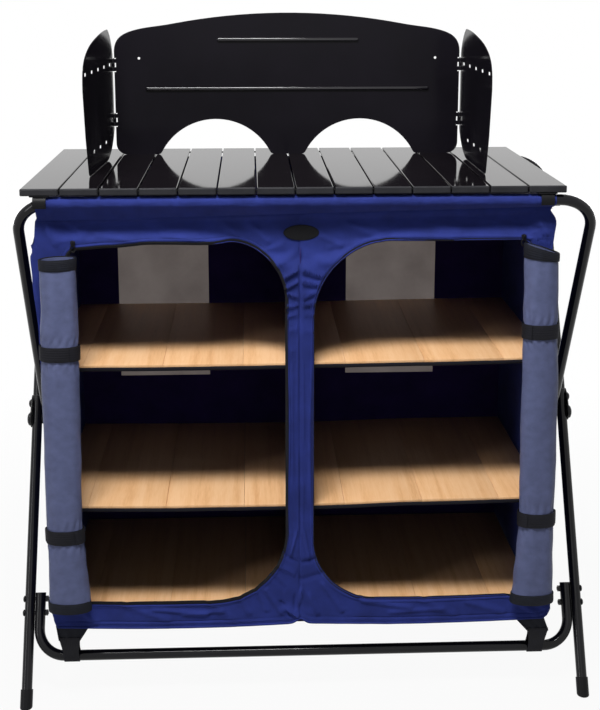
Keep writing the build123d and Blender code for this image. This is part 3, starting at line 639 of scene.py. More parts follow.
def frontY(x, z):
    # where the front cloth lies: wrinkles stand out towards -Y, the header is drawn in below the hem
    left, right, fromSeam = front["left"], front["right"], x - front["seam"]
    cloth = max(front["flattest"], front["crease"] * ridgeHeight(x, z) + waves(x, z, front["wave"]))
    pinch = hump(fromSeam, *front["pinch"]) * fade(z, *front["pinched"])
    ends = fade(x, left, left + 0.05) * fade(x, right - 0.012, right - 0.062)
    headerLow = 0.862 - hump(fromSeam, *front["headerArch"])
    headerHigh = 0.9025 + 0.012 * (x + 0.44)
    header = fade(z, headerLow, headerLow + 0.022) * fade(z, headerHigh, headerHigh - 0.014)
    lean = front["flare"] * fade(z, *front["leaning"])
    aboveHem = z - bottomEdge(x) - front["hem"]
    turned = hump(aboveHem - 0.0012, *front["hemRidge"]) - 0.0009 * fade(aboveHem, 0.0008, -0.0008)
    middle = front["face"] - front["thick"] / 2
    return middle - cloth + pinch + front["recess"] * ends * header + lean + turned


def alongSides(corners, share):
    # a share of the way round four corners: the corner before it, the one after it and the part between
    number = int(share * 4) % 4
    return corners[number], corners[(number + 1) % 4], share * 4 - int(share * 4)


def inwardAt(corner, middle):
    # the two unit steps from a rectangle's corner towards its middle, added up
    return Vector((math.copysign(1, middle[0] - corner[0]), math.copysign(1, middle[1] - corner[1])))


def doorwayPoint(side, share, grow=0.0):
    # point on a grown doorway outline; share runs round from the middle of the lower outer corner
    door = doorways[side]
    sense = 1 if door["outer"] > door["inner"] else -1
    inner, outer = door["inner"] - sense * grow, door["outer"] + sense * grow
    low, high = front["doorLow"] - grow, front["doorHigh"] + grow
    middle = ((inner + outer) / 2, (low + high) / 2)
    corners = (
        (outer, low, door["outerR"] + grow), (inner, low, door["innerLow"] + grow),
        (inner, high, door["innerHigh"] + grow), (outer, high, door["outerR"] + grow),
    )
    (x0, z0, r0), (x1, z1, r1), part = alongSides(corners, share)
    inwardA, inwardB = inwardAt((x0, z0), middle), inwardAt((x1, z1), middle)
    way = Vector((x1 - x0, z1 - z0))
    arcA, arcB = r0 * math.pi / 4, r1 * math.pi / 4
    straight = way.length - r0 - r1
    way.normalize()
    travel = part * (arcA + straight + arcB)
    if travel < arcA:  # second half of the first corner
        angle = math.pi / 4 + travel / r0
        centre = Vector((x0, z0)) + inwardA * r0
        return centre - way * (r0 * math.cos(angle)) - (inwardA - way) * (r0 * math.sin(angle))
    if travel < arcA + straight:
        return Vector((x0, z0)) + way * (r0 + travel - arcA)
    angle = (travel - arcA - straight) / r1
    centre = Vector((x1, z1)) + inwardB * r1
    return centre + way * (r1 * math.sin(angle)) - (inwardB + way) * (r1 * math.cos(angle))


def rectanglePoint(side, share):
    # the matching point on the outer rectangle of that half of the front
    low, high, seam, outer = front["low"], front["high"], front["seam"], front[side]
    (x0, z0), (x1, z1), part = alongSides(((outer, low), (seam, low), (seam, high), (outer, high)), share)
    return Vector((mix(x0, x1, part), mix(z0, z1, part)))


def shapeOutline(x, z):
    # moves a point of the rectangle to the real, uneven outline of the cloth
    z += (bottomEdge(x) - front["low"]) * fade(z, *front["sagging"])
    if x < -0.12 and z > 0.78:
        z -= alongPairs(doorwaySag, x) * fade(z, 0.78, 0.84) * fade(z, 0.905, 0.865)
    moveLeft = (leftEdge(z) - front["left"]) * fade(x, *front["leftUneven"])
    moveRight = (rightEdge(z) - front["right"]) * fade(x, *front["rightUneven"])
    return x + (moveLeft + moveRight), z


def frontHalf(side):
    # one half of the front, laid from the doorway's edge out to the rectangle
    def place(u, v):
        edge = doorwayPoint(side, u % 1.0)
        outside = rectanglePoint(side, u % 1.0)
        v = v ** 1.5  # finer beside the doorway
        spot = edge.lerp(outside, v)
        away = (outside - edge).length * v
        x, z = shapeOutline(spot.x, spot.y)
        return (x, frontY(x, z) - hump(away - front["edgeRollAt"], *front["edgeRoll"]), z)

    return clothGrid("frontHalf" + side, 500, 34, (3.0, 0.06), place, joinColumns=True)


def frontCloth():
    piece = joinPieces([frontHalf("left"), frontHalf("right")], "frontCloth")
    mapFlat(piece)
    mergeDoubles(piece, 0.0002)
    finishCloth(piece, (0, -1, 0), front["thick"], navyCloth, "front", "navy_cloth", "front_panel")


def cordAlong(name, spots, radius, around=6):
    # thin round cord through a list of places
    spots = [Vector(spot) for spot in spots]
    count = len(spots) - 1

    def place(u, v):
        at = min(round(u * count), count)
        ahead = (spots[min(at + 1, count)] - spots[max(at - 1, 0)]).normalized()
        level = ahead.cross(Vector((0, 1, 0)))
        side = (ahead.orthogonal() if abs(ahead.y) > 0.9 else level).normalized()
        angle = 2 * math.pi * v
        return spots[at] + side * (radius * math.cos(angle)) + side.cross(ahead) * (radius * math.sin(angle))

    length = sum((b - a).length for a, b in zip(spots, spots[1:]))
    piece = clothGrid(name, count, around, (length, radius * 6), place, joinColumns=True)
    recalculate(piece)
    smooth(piece, 80)
    return piece


def bottomPiping():
    # corded edge that stiffens the lower hem of the front
    left, right = leftEdge(front["low"]) + 0.002, rightEdge(front["low"]) - 0.002
    steps = 260
    spots = []
    for step in range(steps + 1):
        x = mix(left, right, step / steps)
        z = bottomEdge(x) + 0.0018
        spots.append((x, frontY(x, z) - 0.0008, z))
    piece = cordAlong("bottomPiping", spots, 0.0021, 8)
    finishPiece(piece, navyCloth, "front", "navy_cloth")


stitches = {
    "pitch": 0.0034, "thread": 0.00026, "proud": 0.00062, "under": 0.0006, "doorway": 0.0100,
    "seamAside": 0.0036, "outline": 2.10,
}


def stitchRow(spots):
    # one sewing thread that dips into the cloth between its stitches
    thread = []
    for at, (x, z) in enumerate(spots):
        depth = stitches["under"] if at % 4 == 0 else -stitches["proud"]
        thread.append((x, frontY(x, z) + depth, z))
    return cordAlong("stitches", thread, stitches["thread"], 4)


def straightRow(first, last):
    # evenly spaced (x, z) places from one end of a straight row to the other
    steps = round(math.dist(first, last) / stitches["pitch"]) * 4
    return [(mix(first[0], last[0], k / steps), mix(first[1], last[1], k / steps)) for k in range(steps + 1)]


def seamHeight(x):
    # the seam between the header and the hem sleeve climbs a little to the right
    return 0.9005 + 0.0175 * (x + 0.443) / 0.85


def frontStitches():
    rows = []
    steps = round(stitches["outline"] / stitches["pitch"]) * 4
    for side in sides:
        around = [doorwayPoint(side, (k / steps) % 1.0, stitches["doorway"]) for k in range(steps + 1)]
        rows.append([shapeOutline(spot.x, spot.y) for spot in around])
    for aside in (-1, 1):
        x = front["seam"] + aside * stitches["seamAside"]
        rows.append(straightRow((x, front["low"] + 0.016), (x, 0.8555)))
    low = straightRow((leftEdge(0.165) + 0.006, 0), (rightEdge(0.165) - 0.006, 0))
    rows.append([(x, bottomEdge(x) + front["hem"] - 0.0022) for x, _ in low])
    header = straightRow((leftEdge(0.9) + 0.004, 0), (rightEdge(0.9) - 0.004, 0))
    rows.append([(x, seamHeight(x) - 0.0042) for x, _ in header])
    piece = joinPieces([stitchRow(row) for row in rows], "frontStitches")
    smooth(piece, 80)
    finishPiece(piece, sewingThread, "front", "navy_cloth")


frontCloth()
bottomPiping()
frontStitches()
print("stage: front cloth")


# hem sleeves on the two top bars

hems = {
    "frontHem": {"barY": -0.2305, "wallY": -0.2190, "body": "front", "bar": "inner_upper_tube", "sense": -1},
    "rearHem": {"barY": 0.2455, "wallY": 0.2318, "body": "rear", "bar": "outer_upper_tube", "sense": 1},
}
hemSleeve = {"barZ": 0.931, "radius": 0.0109, "thick": 0.0011, "start": -38, "stop": 222, "flap": 0.24}


def hemCloth(name):
    # round the bar and down to the seam on both sides; v runs from the outer seam to the inner one
    hem = hems[name]
    sense, flap = hem["sense"], hemSleeve["flap"]
    start, stop = math.radians(hemSleeve["start"]), math.radians(hemSleeve["stop"])

    def place(u, v):
        x = mix(leftEdge(0.92), rightEdge(0.92), u)
        uneven = 0.0005 * ripple(x, v, 0, 0.03, 5) + 0.0004 * ripple(x, v * 0.1, 0, 0.012, 6)
        radius = hemSleeve["radius"] + uneven
        angle = mix(start, stop, clamp((v - flap) / (1 - 2 * flap)))
        y = hem["barY"] + sense * radius * math.cos(angle)
        z = hemSleeve["barZ"] + radius * math.sin(angle)
        if flap <= v <= 1 - flap:
            return (x, y, z)
        outer = v < flap
        part = (v if outer else 1 - v) / flap
        lowY = hem["wallY"] + sense * (0.0013 if outer else -0.0012)
        # the outer layer hangs a little slack between the bar and the seam, with short gathers
        gathers = 0.0012 * ripple(x, part * 0.01, 0, 0.022, 7) + 0.0006 * ripple(x, 0, 0, 0.008, 8)
        slack = sense * arch(part) * (0.0010 + gathers) if outer else 0
        return (x, mix(lowY, y, part) + slack, mix(seamHeight(x) - 0.0010, z, part))

    piece = clothGrid(name, 440, 42, (0.8905, 0.092), place)
    finishCloth(
        piece, (0, 0, 1), hemSleeve["thick"], navyCloth, hem["body"], "navy_cloth", hem["body"] + "_hem",
    )


for name in hems:
    hemCloth(name)
print("stage: hem sleeves")


# zip tapes, sliders and pulls

# round the cut edge of the doorway: millimetres outside the edge and in front of the cloth
tapeProfile = (
    (4.6, -0.4), (4.4, 0.5), (3.8, 0.8), (3.2, 1.2), (2.4, 1.5), (1.6, 1.2), (1.2, 0.8), (0.4, 0.8),
    (-0.9, 0.4), (-1.4, -0.6), (-1.1, -1.8), (0.4, -2.3), (2.5, -2.4), (4.4, -2.2),
)


def zipTape(side):
    count = len(tapeProfile)

    def place(u, v):
        grow, proud = tapeProfile[round(v * count) % count]
        edge = doorwayPoint(side, u % 1.0, grow / 1000)
        beside = doorwayPoint(side, u % 1.0, 0.002)
        x, z = shapeOutline(edge.x, edge.y)
        return (x, frontY(*shapeOutline(beside.x, beside.y)) - proud / 1000, z)

    return clothGrid("tape" + side, 640, count, (2.05, 0.03), place, joinColumns=True)


def zipTapes():
    piece = joinPieces([zipTape("left"), zipTape("right")], "zipTapes")
    recalculate(piece)
    smooth(piece, 50)
    finishPiece(piece, tapeWeave, "front", "zip", "zip_tapes")


sliders = {
    "left": (-0.398, 0.861), "right": (0.372, 0.866), "face": -0.2192, "size": (0.009, 0.0032, 0.0105),
    "drop": 0.0022, "pullFace": -0.2234, "foot": 0.62, "tongue": (0.0046, 0.0014, 0.0095),
    # large and small radius
    "bridge": (0.0036, 0.0008), "ring": (0.0042, 0.0011),
}


def zipSliders():
    parts = []
    for side in sides:
        x, z = sliders[side]
        y = sliders["face"] - sliders["size"][1] / 2 - 0.0004
        body = addPrimitive(
            bpy.ops.mesh.primitive_cube_add, sliders["size"], size=1, location=(x, y, z - sliders["drop"]),
        )
        for vertex in body.data.vertices:  # narrower at the foot, as zip sliders are
            if vertex.co.z < z - sliders["drop"]:
                vertex.co.x = mix(x, vertex.co.x, sliders["foot"])
        applyModifier(body, "BEVEL", width=0.0011, segments=3)
        # the bridge that the pull hangs on
        large, small = sliders["bridge"]
        bridge = addPrimitive(
            bpy.ops.mesh.primitive_torus_add, major_radius=large, minor_radius=small, major_segments=24,
            minor_segments=8, location=(x, y - 0.0016, z + 0.0005), rotation=(0, math.pi / 2, 0),
        )
        parts += [body, bridge]
    piece = joinPieces(parts, "zipSliders")
    smooth(piece, 40)
    finishPiece(piece, zipPlastic, "front", "zip", "zip_sliders")


def zipPull(side):
    # a flat tongue and a ring of cord to grip
    x, z = sliders[side]
    y = sliders["pullFace"]
    large, small = sliders["ring"]
    ring = addPrimitive(
        bpy.ops.mesh.primitive_torus_add, (1.0, 1.28, 0.8), major_radius=large, minor_radius=small,
        major_segments=32, minor_segments=10, location=(x, y, z - 0.0105), rotation=(math.pi / 2, 0, 0),
    )
    tongue = addPrimitive(
        bpy.ops.mesh.primitive_cube_add, sliders["tongue"], size=1, location=(x, y, z - 0.0015),
    )
    applyModifier(tongue, "BEVEL", width=0.0006, segments=3)
    piece = joinPieces([ring, tongue], "zipPull" + side.title())
    smooth(piece, 40)
    finishPiece(piece, zipPlastic, "zip_" + side, "zip", "zip_pull_" + side)


zipTapes()
zipSliders()
for side in sides:
    zipPull(side)
print("stage: zips")


# plain oval patch

patch = {
    "at": (-0.010, 0.873), "half": (0.0295, 0.0127), "thick": 0.0012, "lift": 0.0007, "rim": 0.0011,
    "stitches": 55,
}


def ovalPatch():
    x, z = patch["at"]
    halfWide, halfHigh = patch["half"]

    def place(u, v):
        angle = 2 * math.pi * u
        spotX, spotZ = x + halfWide * v * math.cos(angle), z + halfHigh * v * math.sin(angle)
        return (spotX, frontY(spotX, spotZ) - patch["thick"] - patch["lift"], spotZ)

    field = clothGrid("patchField", 96, 14, (0.06, 0.026), place, joinColumns=True)
    mapFlat(field)
    faceOut(field, (0, -1, 0))
    applyModifier(field, "SOLIDIFY", thickness=patch["thick"], offset=-1.0)
    rim = addPrimitive(
        bpy.ops.mesh.primitive_torus_add, major_radius=1, minor_radius=0.1, major_segments=220,
        minor_segments=8,
    )
    for vertex in rim.data.vertices:  # overlocked rim: one small swelling for each stitch
        angle = math.atan2(vertex.co.y, vertex.co.x)
        outward = math.hypot(vertex.co.x, vertex.co.y) - 1
        swell = patch["rim"] * (10 + 1.6 * math.sin(angle * patch["stitches"]))
        spotX = x + (halfWide + outward * swell) * math.cos(angle)
        spotZ = z + (halfHigh + outward * swell) * math.sin(angle)
        middle = frontY(spotX, spotZ) - patch["thick"] / 2 - patch["lift"]
        vertex.co = (spotX, middle - vertex.co.z * swell, spotZ)
    recalculate(rim)
    piece = joinPieces([field, rim], "ovalPatch")
    smooth(piece, 45)
    finishPiece(piece, patchTwill, "front", "patch", "badge_patch")


ovalPatch()
print("stage: patch")


# doors rolled up sideways

# each outline gives the height, the middle and the width of a roll, from the top down
rolls = {
    "left": {
        "low": 0.196, "high": 0.838, "straps": (0.340, 0.674), "sense": 1, "seed": 11, "slant": 0.0012,
        "outline": (
            (0.838, -0.4222, 0.0622), (0.767, -0.4227, 0.0632), (0.696, -0.4245, 0.0664),
            (0.589, -0.4262, 0.0664), (0.517, -0.4268, 0.0660), (0.443, -0.4278, 0.0655),
            (0.368, -0.4280, 0.0650), (0.340, -0.4276, 0.0654), (0.292, -0.4258, 0.0672),
            (0.254, -0.4250, 0.0702), (0.215, -0.4242, 0.0736), (0.196, -0.4236, 0.0745),
        ),
    },
    "right": {
        "low": 0.195, "high": 0.849, "straps": (0.357, 0.704), "sense": -1, "seed": 23, "slant": -0.0088,
        "outline": (
            (0.849, 0.3995, 0.0600), (0.758, 0.4018, 0.0605), (0.704, 0.4033, 0.0615),
            (0.577, 0.4066, 0.0650), (0.503, 0.4075, 0.0650), (0.428, 0.4085, 0.0650),
            (0.372, 0.4090, 0.0650), (0.333, 0.4095, 0.0655), (0.295, 0.4085, 0.0680),
            (0.237, 0.4072, 0.0735), (0.195, 0.4060, 0.0775),
        ),
    },
}
rollLook = {
    "depth": 0.0366, "back": -0.2218, "waist": 0.965, "waistSpan": (0.015, 0.041), "turns": 2.35,
    "layer": 0.0030, "thick": 0.0011, "bandHigh": 0.019, "strapHigh": 0.0255, "strapTurns": 1.14,
    "lap": 0.0019, "slantHigh": 0.034, "start": -62, "coreSag": 0.0022, "coreSkin": 0.3,
    "strapThick": 0.0013, "bandThick": 0.0009,
}


def rollAt(roll, z):
    # middle, half width and half depth of a roll at one height
    middle = alongPairs([(high, x) for high, x, _ in roll["outline"]], z)
    wide = alongPairs([(high, across) for high, _, across in roll["outline"]], z)
    return middle, wide / 2, rollLook["depth"] / 2


def slantAt(roll, aside, z):
    # the upper end of a roll is cut at a slant; aside runs from -1 to 1 across it
    return roll["slant"] * aside * fade(z, roll["high"] - rollLook["slantHigh"], roll["high"])


def waistAt(roll, z):
    # how far the straps draw the roll in, and how far away the nearest one is
    nearest = min(abs(z - strap) for strap in roll["straps"])
    return mix(rollLook["waist"], 1.0, fade(nearest, *rollLook["waistSpan"])), nearest


def rollSkin(roll, angle, z, nearest):
    # small change of the radius: long dents, and folds that run into each strap
    x, y, seed = 0.03 * math.cos(angle), 0.03 * math.sin(angle), roll["seed"]
    dent = 0.0011 * ripple(x, y, z, 0.05, seed) + 0.0016 * ripple(x, y, z * 0.12, 0.018, seed + 3)
    crease = 0.0006 * ripple(x, y, z * 0.4, 0.014, seed + 1)
    folds = hump(max(0.0, nearest - 0.014), 0.0011, 0.018)
    folds *= math.sin(13 * angle + 5 * ripple(0, 0, z, 0.02, seed + 2))
    return (dent + crease + folds) * fade(nearest, 0.012, 0.018)


def rolledDoor(side):
    # a spiral of cloth; u runs inwards from the free edge, v upwards
    roll = rolls[side]

    def place(u, v):
        z = mix(roll["low"] + 0.0006, roll["high"] - 0.0006, v)
        x, halfWide, halfDeep = rollAt(roll, z)
        waist, nearest = waistAt(roll, z)
        turn = u * rollLook["turns"]
        angle = 2 * math.pi * turn + math.radians(rollLook["start"])
        inner = rollLook["layer"] * turn
        skin = rollSkin(roll, roll["sense"] * angle, z, nearest) * (1 if turn < 1 else rollLook["coreSkin"])
        across = halfWide * waist - 0.0002 - inner + skin
        deep = halfDeep * waist - 0.0002 - inner * 0.9 + skin
        sag = rollLook["coreSag"] * turn * (1 if v > 0.5 else -1) * fade(abs(v - 0.5), 0.45, 0.95)
        return (
            x + roll["sense"] * across * math.cos(angle),
            rollLook["back"] - halfDeep - deep * math.sin(angle),
            z - sag + slantAt(roll, roll["sense"] * math.cos(angle), z),
        )

    piece = clothGrid("rolledDoor" + side.title(), 300, 130, (0.395, 0.642), place)
    applyModifier(piece, "SOLIDIFY", thickness=rollLook["thick"], offset=0)
    smooth(piece, 60)
    finishPiece(piece, liningCloth, "front", "lining_cloth", "door_roll_" + side)


def ringGrid(name, roll, low, high, profile, turns, startAngle, size, waist):
    # webbing or binding laid round a roll; profile gives (height share, millimetres of stand-off) pairs
    count = len(profile) - 1

    def place(u, v):
        rise, off = profile[round(v * count)]
        z = mix(low, high, rise)
        x, halfWide, halfDeep = rollAt(roll, clamp(z, roll["low"], roll["high"]))
        angle = startAngle + 2 * math.pi * turns * u
        lap = rollLook["lap"] if turns > 1 and u * turns > 0.5 else 0.0
        off = off / 1000 + lap + 0.0003 * ripple(angle * 0.02, z, 0, 0.01, roll["seed"] + 7)
        return (
            x + roll["sense"] * (halfWide * waist + off) * math.cos(angle),
            rollLook["back"] - halfDeep - (halfDeep * waist + off) * math.sin(angle),
            z + slantAt(roll, roll["sense"] * math.cos(angle), z),
        )

    return clothGrid(name, 120, count, size, place, joinColumns=turns == 1)


def rollStraps():
    # webbing straps: each starts under its own end, goes once round and laps over itself
    profile = ((0.0, 0.7), (0.06, 1.0), (0.2, 1.1), (0.5, 1.1), (0.8, 1.1), (0.94, 1.0), (1.0, 0.7))
    half = rollLook["strapHigh"] / 2
    straps = []
    for roll in rolls.values():
        for level in roll["straps"]:
            strap = ringGrid(
                "strap", roll, level - half, level + half, profile, rollLook["strapTurns"], math.radians(4),
                (0.21, 0.028), rollLook["waist"],
            )
            applyModifier(strap, "SOLIDIFY", thickness=rollLook["strapThick"], offset=0)
            straps.append(strap)
    piece = joinPieces(straps, "rollStraps")
    smooth(piece, 50)
    finishPiece(piece, webbing, "front", "webbing", "roll_straps")


def rollEndBands():
    # folded binding over both ends of each roll, turned a little to the inside
    lowEnd = (
        (0.0, -3.2), (-0.02, -2.0), (-0.045, -0.6), (-0.03, 0.6), (0.06, 1.2), (0.3, 1.35), (0.6, 1.2),
        (0.93, 1.0), (1.0, 0.4),
    )
    highEnd = tuple((1 - rise, off) for rise, off in lowEnd)
    high = rollLook["bandHigh"]
    bands = []
    for roll in rolls.values():
        for low, profile in ((roll["low"], lowEnd), (roll["high"] - high, highEnd)):
            band = ringGrid("band", roll, low, low + high, profile, 1, 0.0, (0.18, 0.03), 1.0)
            recalculate(band)
            applyModifier(band, "SOLIDIFY", thickness=rollLook["bandThick"], offset=-1)
            bands.append(band)
    piece = joinPieces(bands, "rollEndBands")
    smooth(piece, 50)
    finishPiece(piece, binding, "front", "webbing", "roll_end_bands")


for side in sides:
    rolledDoor(side)
rollStraps()
rollEndBands()
print("stage: rolled doors")


# cloth behind the front: rear wall, windows, side walls, top, divider and floor

inside = {
    "left": -0.4540, "right": 0.4340, "low": 0.150, "high": 0.917, "rear": 0.2315, "front": -0.2147,
    "rearEdge": 0.2297, "divider": -0.0125, "thick": 0.0011, "pivot": 0.0075, "top": 0.9187,
    "bulge": {"left": 0.011, "right": 0.006}, "floorSides": (-0.4506, 0.4306), "floor": 0.1519,
    "topHang": 0.004, "dividerLow": 0.153, "behindHeader": 0.0135,
    # heights, sizes and seeds of the waves in each sheet
    "rearWave": ((0.0018, 0.16, 31), (0.0007, 0.04, 32)), "filmWave": ((0.0014, 0.11, 37),),
    "leftWave": ((0.0035, 0.17, 40), (0.0012, 0.045, 42)), "topWave": ((0.0015, 0.12, 47),),
    "rightWave": ((0.0035, 0.17, 42), (0.0012, 0.045, 44)), "floorWave": ((0.0006, 0.09, 59),),
    "dividerWave": ((0.0008, 0.15, 53), (0.0004, 0.04, 54)),
}
windows = {
    "left": (-0.372, -0.185), "right": (0.102, 0.289), "low": 0.478, "high": 0.860, "seam": 0.008,
    "proud": 0.0013, "thick": 0.0005,
}


def steppedLines(edges, step):
    # grid lines at every edge and evenly between them
    lines = []
    for a, b in zip(edges, edges[1:]):
        count = max(1, round((b - a) / step))
        lines += [mix(a, b, k / count) for k in range(count)]
    return lines + [edges[-1]]


def rearWall():
    # its grid has lines on the windows' edges, and the faces between them are cut out
    edges = (inside["left"] - 0.001, *windows["left"], *windows["right"], inside["right"] + 0.001)
    across = steppedLines(edges, 0.012)
    upward = steppedLines((inside["low"], windows["low"], windows["high"], inside["high"] - 0.002), 0.012)

    def pastWindow(x, z, side):
        left, right = windows[side]
        pastX = abs(x - (left + right) / 2) - (right - left) / 2
        pastZ = abs(z - (windows["low"] + windows["high"]) / 2) - (windows["high"] - windows["low"]) / 2
        return max(pastX, pastZ)

    def place(u, v):
        x = across[round(u * (len(across) - 1))]
        z = upward[round(v * (len(upward) - 1))]
        near = min(pastWindow(x, z, side) for side in sides)
        return (x, inside["rear"] + waves(x, z, inside["rearWave"]) * fade(near, 0, 0.03), z)

    piece = clothGrid("rearCloth", len(across) - 1, len(upward) - 1, (0.89, 0.765), place)
    editAll(piece, bpy.ops.mesh.select_all, action="DESELECT")
    for face in piece.data.polygons:
        face.select = min(pastWindow(face.center.x, face.center.z, side) for side in sides) < 0
    bpy.ops.object.mode_set(mode="EDIT")
    bpy.ops.mesh.delete(type="FACE")
    bpy.ops.object.mode_set(mode="OBJECT")
    finishCloth(piece, (0, 1, 0), inside["thick"], rearCanvas, "rear", "navy_cloth", "rear_wall")


def rearWindows():
    films = []
    seam = windows["seam"]
    for side in sides:
        left, right = windows[side][0] - seam, windows[side][1] + seam

        def place(u, v):
            x, z = mix(left, right, u), mix(windows["low"] - seam, windows["high"] + seam, v)
            held = fade(min(u, 1 - u, v, 1 - v), 0, 0.15)
            return (x, inside["rear"] + windows["proud"] + held * waves(x, z, inside["filmWave"]), z)

        films.append(clothGrid("film", 34, 60, (0.203, 0.398), place))
    piece = joinPieces(films, "rearWindows")
    finishCloth(piece, (0, 1, 0), windows["thick"], windowFilm, "rear", "window_film", "rear_windows")


def sideWall(side):
    outward = -1 if side == "left" else 1
    edgeAt = leftEdge if side == "left" else rightEdge

    def place(u, v):
        y = mix(inside["front"] - 0.0030, inside["rearEdge"] + 0.0016, u)
        z = mix(inside["low"], inside["high"] - 0.001, v)
        belly = arch(u) ** 0.8 * arch(clamp(v, 0.001, 0.999)) ** 0.6 * inside["bulge"][side]
        slack = arch(u) * waves(y, z, inside[side + "Wave"])
        # its front edge meets the uneven edge of the front cloth
        toFront = (edgeAt(z) - front[side] - outward * 0.0012) * (1 - u) ** 3
        return (inside[side] + outward * (belly + slack - 0.0012) + toFront, y, z)

    piece = clothGrid("sideCloth" + side.title(), 60, 96, (0.449, 0.766), place)
    finishCloth(piece, (outward, 0, 0), inside["thick"], navyCloth, "rear", "navy_cloth", "side_walls")
    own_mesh(piece)


def topCloth():
    def place(u, v):
        x, y = mix(inside["left"], inside["right"], u), mix(inside["front"], inside["rearEdge"], v)
        hang = arch(v) * arch(u) * (inside["topHang"] + waves(x, y, inside["topWave"]))
        return (x, y, inside["top"] - hang)

    piece = clothGrid("topCloth", 90, 46, (0.888, 0.444), place)
    finishCloth(piece, (0, 0, 1), inside["thick"], paintedShadeInnerCloth, "rear", "navy_cloth", "top_panel")
    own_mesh(piece)


def dividerCloth():
    # it keeps behind the drawn-in header, and hangs between the inner ends of the boards
    def place(u, v):
        z = mix(inside["dividerLow"], inside["high"], v)
        near = inside["front"] + inside["behindHeader"] * fade(z, 0.835, 0.855)
        y = mix(near, inside["rearEdge"], u)
        return (inside["divider"] + arch(u) * waves(y, z, inside["dividerWave"]), y, z)

    piece = clothGrid("dividerCloth", 60, 96, (0.444, 0.764), place)
    finishCloth(piece, (-1, 0, 0), inside["thick"], paintedShadeInnerCloth, "core", "navy_cloth", "divider")
    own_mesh(piece)


def floorCloth():
    def place(u, v):
        x, y = mix(*inside["floorSides"], u), mix(inside["front"], inside["rearEdge"], v)
        return (x, y, inside["floor"] - 0.0006 - waves(x, y, inside["floorWave"]))

    piece = clothGrid("floorCloth", 90, 46, (0.881, 0.444), place)
    finishCloth(piece, (0, 0, 1), inside["thick"], paintedShadeInnerCloth, "shelf_bottom", "navy_cloth", "floor_panel")


rearWall()
rearWindows()
for side in sides:
    sideWall(side)
topCloth()
dividerCloth()
floorCloth()
print("stage: inner cloth")


# shelf boards and the cloth under them

shelves = {
    "cloth": {"Top": 0.637, "Middle": 0.374}, "bottom": 0.160, "boardFront": -0.2025, "boardRear": 0.2175,
    "columns": ((-0.4506, -0.0139), (-0.0101, 0.4306)), "clothThick": 0.0008, "belly": 0.0012,
}
# how far each shelf hangs above its level, from the photo: (x, lift) pairs from right to left
shelfLift = {
    "Top": ((0.43, 0.0068), (0.20, 0.0048), (0.0, 0.0024), (-0.02, 0.0014), (-0.45, 0.0014)),
    "Middle": ((0.43, 0.0066), (0.20, 0.0052), (0.0, 0.0), (-0.20, 0.0006), (-0.45, 0.0030)),
    "Bottom": ((0.43, 0.0), (-0.45, 0.0)),
}
boardStrips = {
    "edges": ((-0.4506, -0.392, -0.252, -0.112, -0.0139), (-0.0101, 0.068, 0.208, 0.348, 0.4306)),
    "thick": 0.006, "gap": 0.0003, "bevel": 0.0007, "sides": 0.0006,
}
# from the rear, under the boards, round the lip and down to their front edge: (y, z below the level)
trayProfile = (
    (shelves["boardRear"], -0.0068), (0.10, -0.0072), (0.0, -0.0076), (-0.10, -0.0081), (-0.17, -0.0088),
    (-0.196, -0.0096), (-0.2032, -0.0104), (-0.2053, -0.0092), (-0.2058, -0.0070), (-0.2056, -0.0048),
    (-0.2050, -0.0036), (-0.2040, -0.0032), (-0.2031, -0.0036), (-0.2029, -0.0056),
)


def shelfBoards(name, level):
    # eight strips of board that lie edge to edge
    near, far = shelves["boardFront"], shelves["boardRear"]
    thick, gap = boardStrips["thick"], boardStrips["gap"] / 2
    strips = []
    for edges in boardStrips["edges"]:
        for number, (left, right) in enumerate(zip(edges, edges[1:])):
            low = left + (boardStrips["sides"] if number == 0 else gap)
            high = right - (boardStrips["sides"] if number == len(edges) - 2 else gap)
            strip = addPrimitive(
                bpy.ops.mesh.primitive_cube_add, (high - low, far - near, thick), size=1,
                location=((low + high) / 2, (near + far) / 2, level - thick / 2),
            )
            applyModifier(strip, "BEVEL", width=boardStrips["bevel"], segments=2)
            for vertex in strip.data.vertices:
                vertex.co.z += alongPairs(shelfLift[name], vertex.co.x)
            strips.append(strip)
    piece = joinPieces(strips, "shelfBoards" + name)
    smooth(piece, 30)
    finishPiece(piece, beechBoard, "shelf_" + name.lower(), "board_wood", "shelf_boards_" + name.lower())


def shelfCloth(name, level):
    count = len(trayProfile) - 1
    halves = []
    for number, (left, right) in enumerate(shelves["columns"]):

        def place(u, v):
            x = mix(left, right, u)
            y, below = trayProfile[round(v * count)]
            belly = shelves["belly"] * arch(u) * fade(y, 0.1, -0.2)
            wave = 0.0003 * ripple(x, y, level, 0.05, 61 + number)
            lipWave = 0.0005 * ripple(x, 0, level, 0.02, 65 + number) if y < -0.2 else 0.0
            return (x, y + lipWave, level + below - belly + wave + alongPairs(shelfLift[name], x))

        half = clothGrid("tray", 120, count, (right - left, 0.45), place)
        recalculate(half)
        faceOut(half, (0, 0, -1))
        halves.append(half)
    piece = joinPieces(halves, "shelfCloth" + name)
    finishCloth(
        piece, (0, 0, -1), shelves["clothThick"], shelfWeave, "shelf_" + name.lower(), "webbing",
        "shelf_cloth_" + name.lower(),
    )


for name, level in shelves["cloth"].items():
    shelfCloth(name, level)
    shelfBoards(name, level)
shelfBoards("Bottom", shelves["bottom"])
print("stage: shelves")


# corner gussets and the webbing loops on the bottom bar

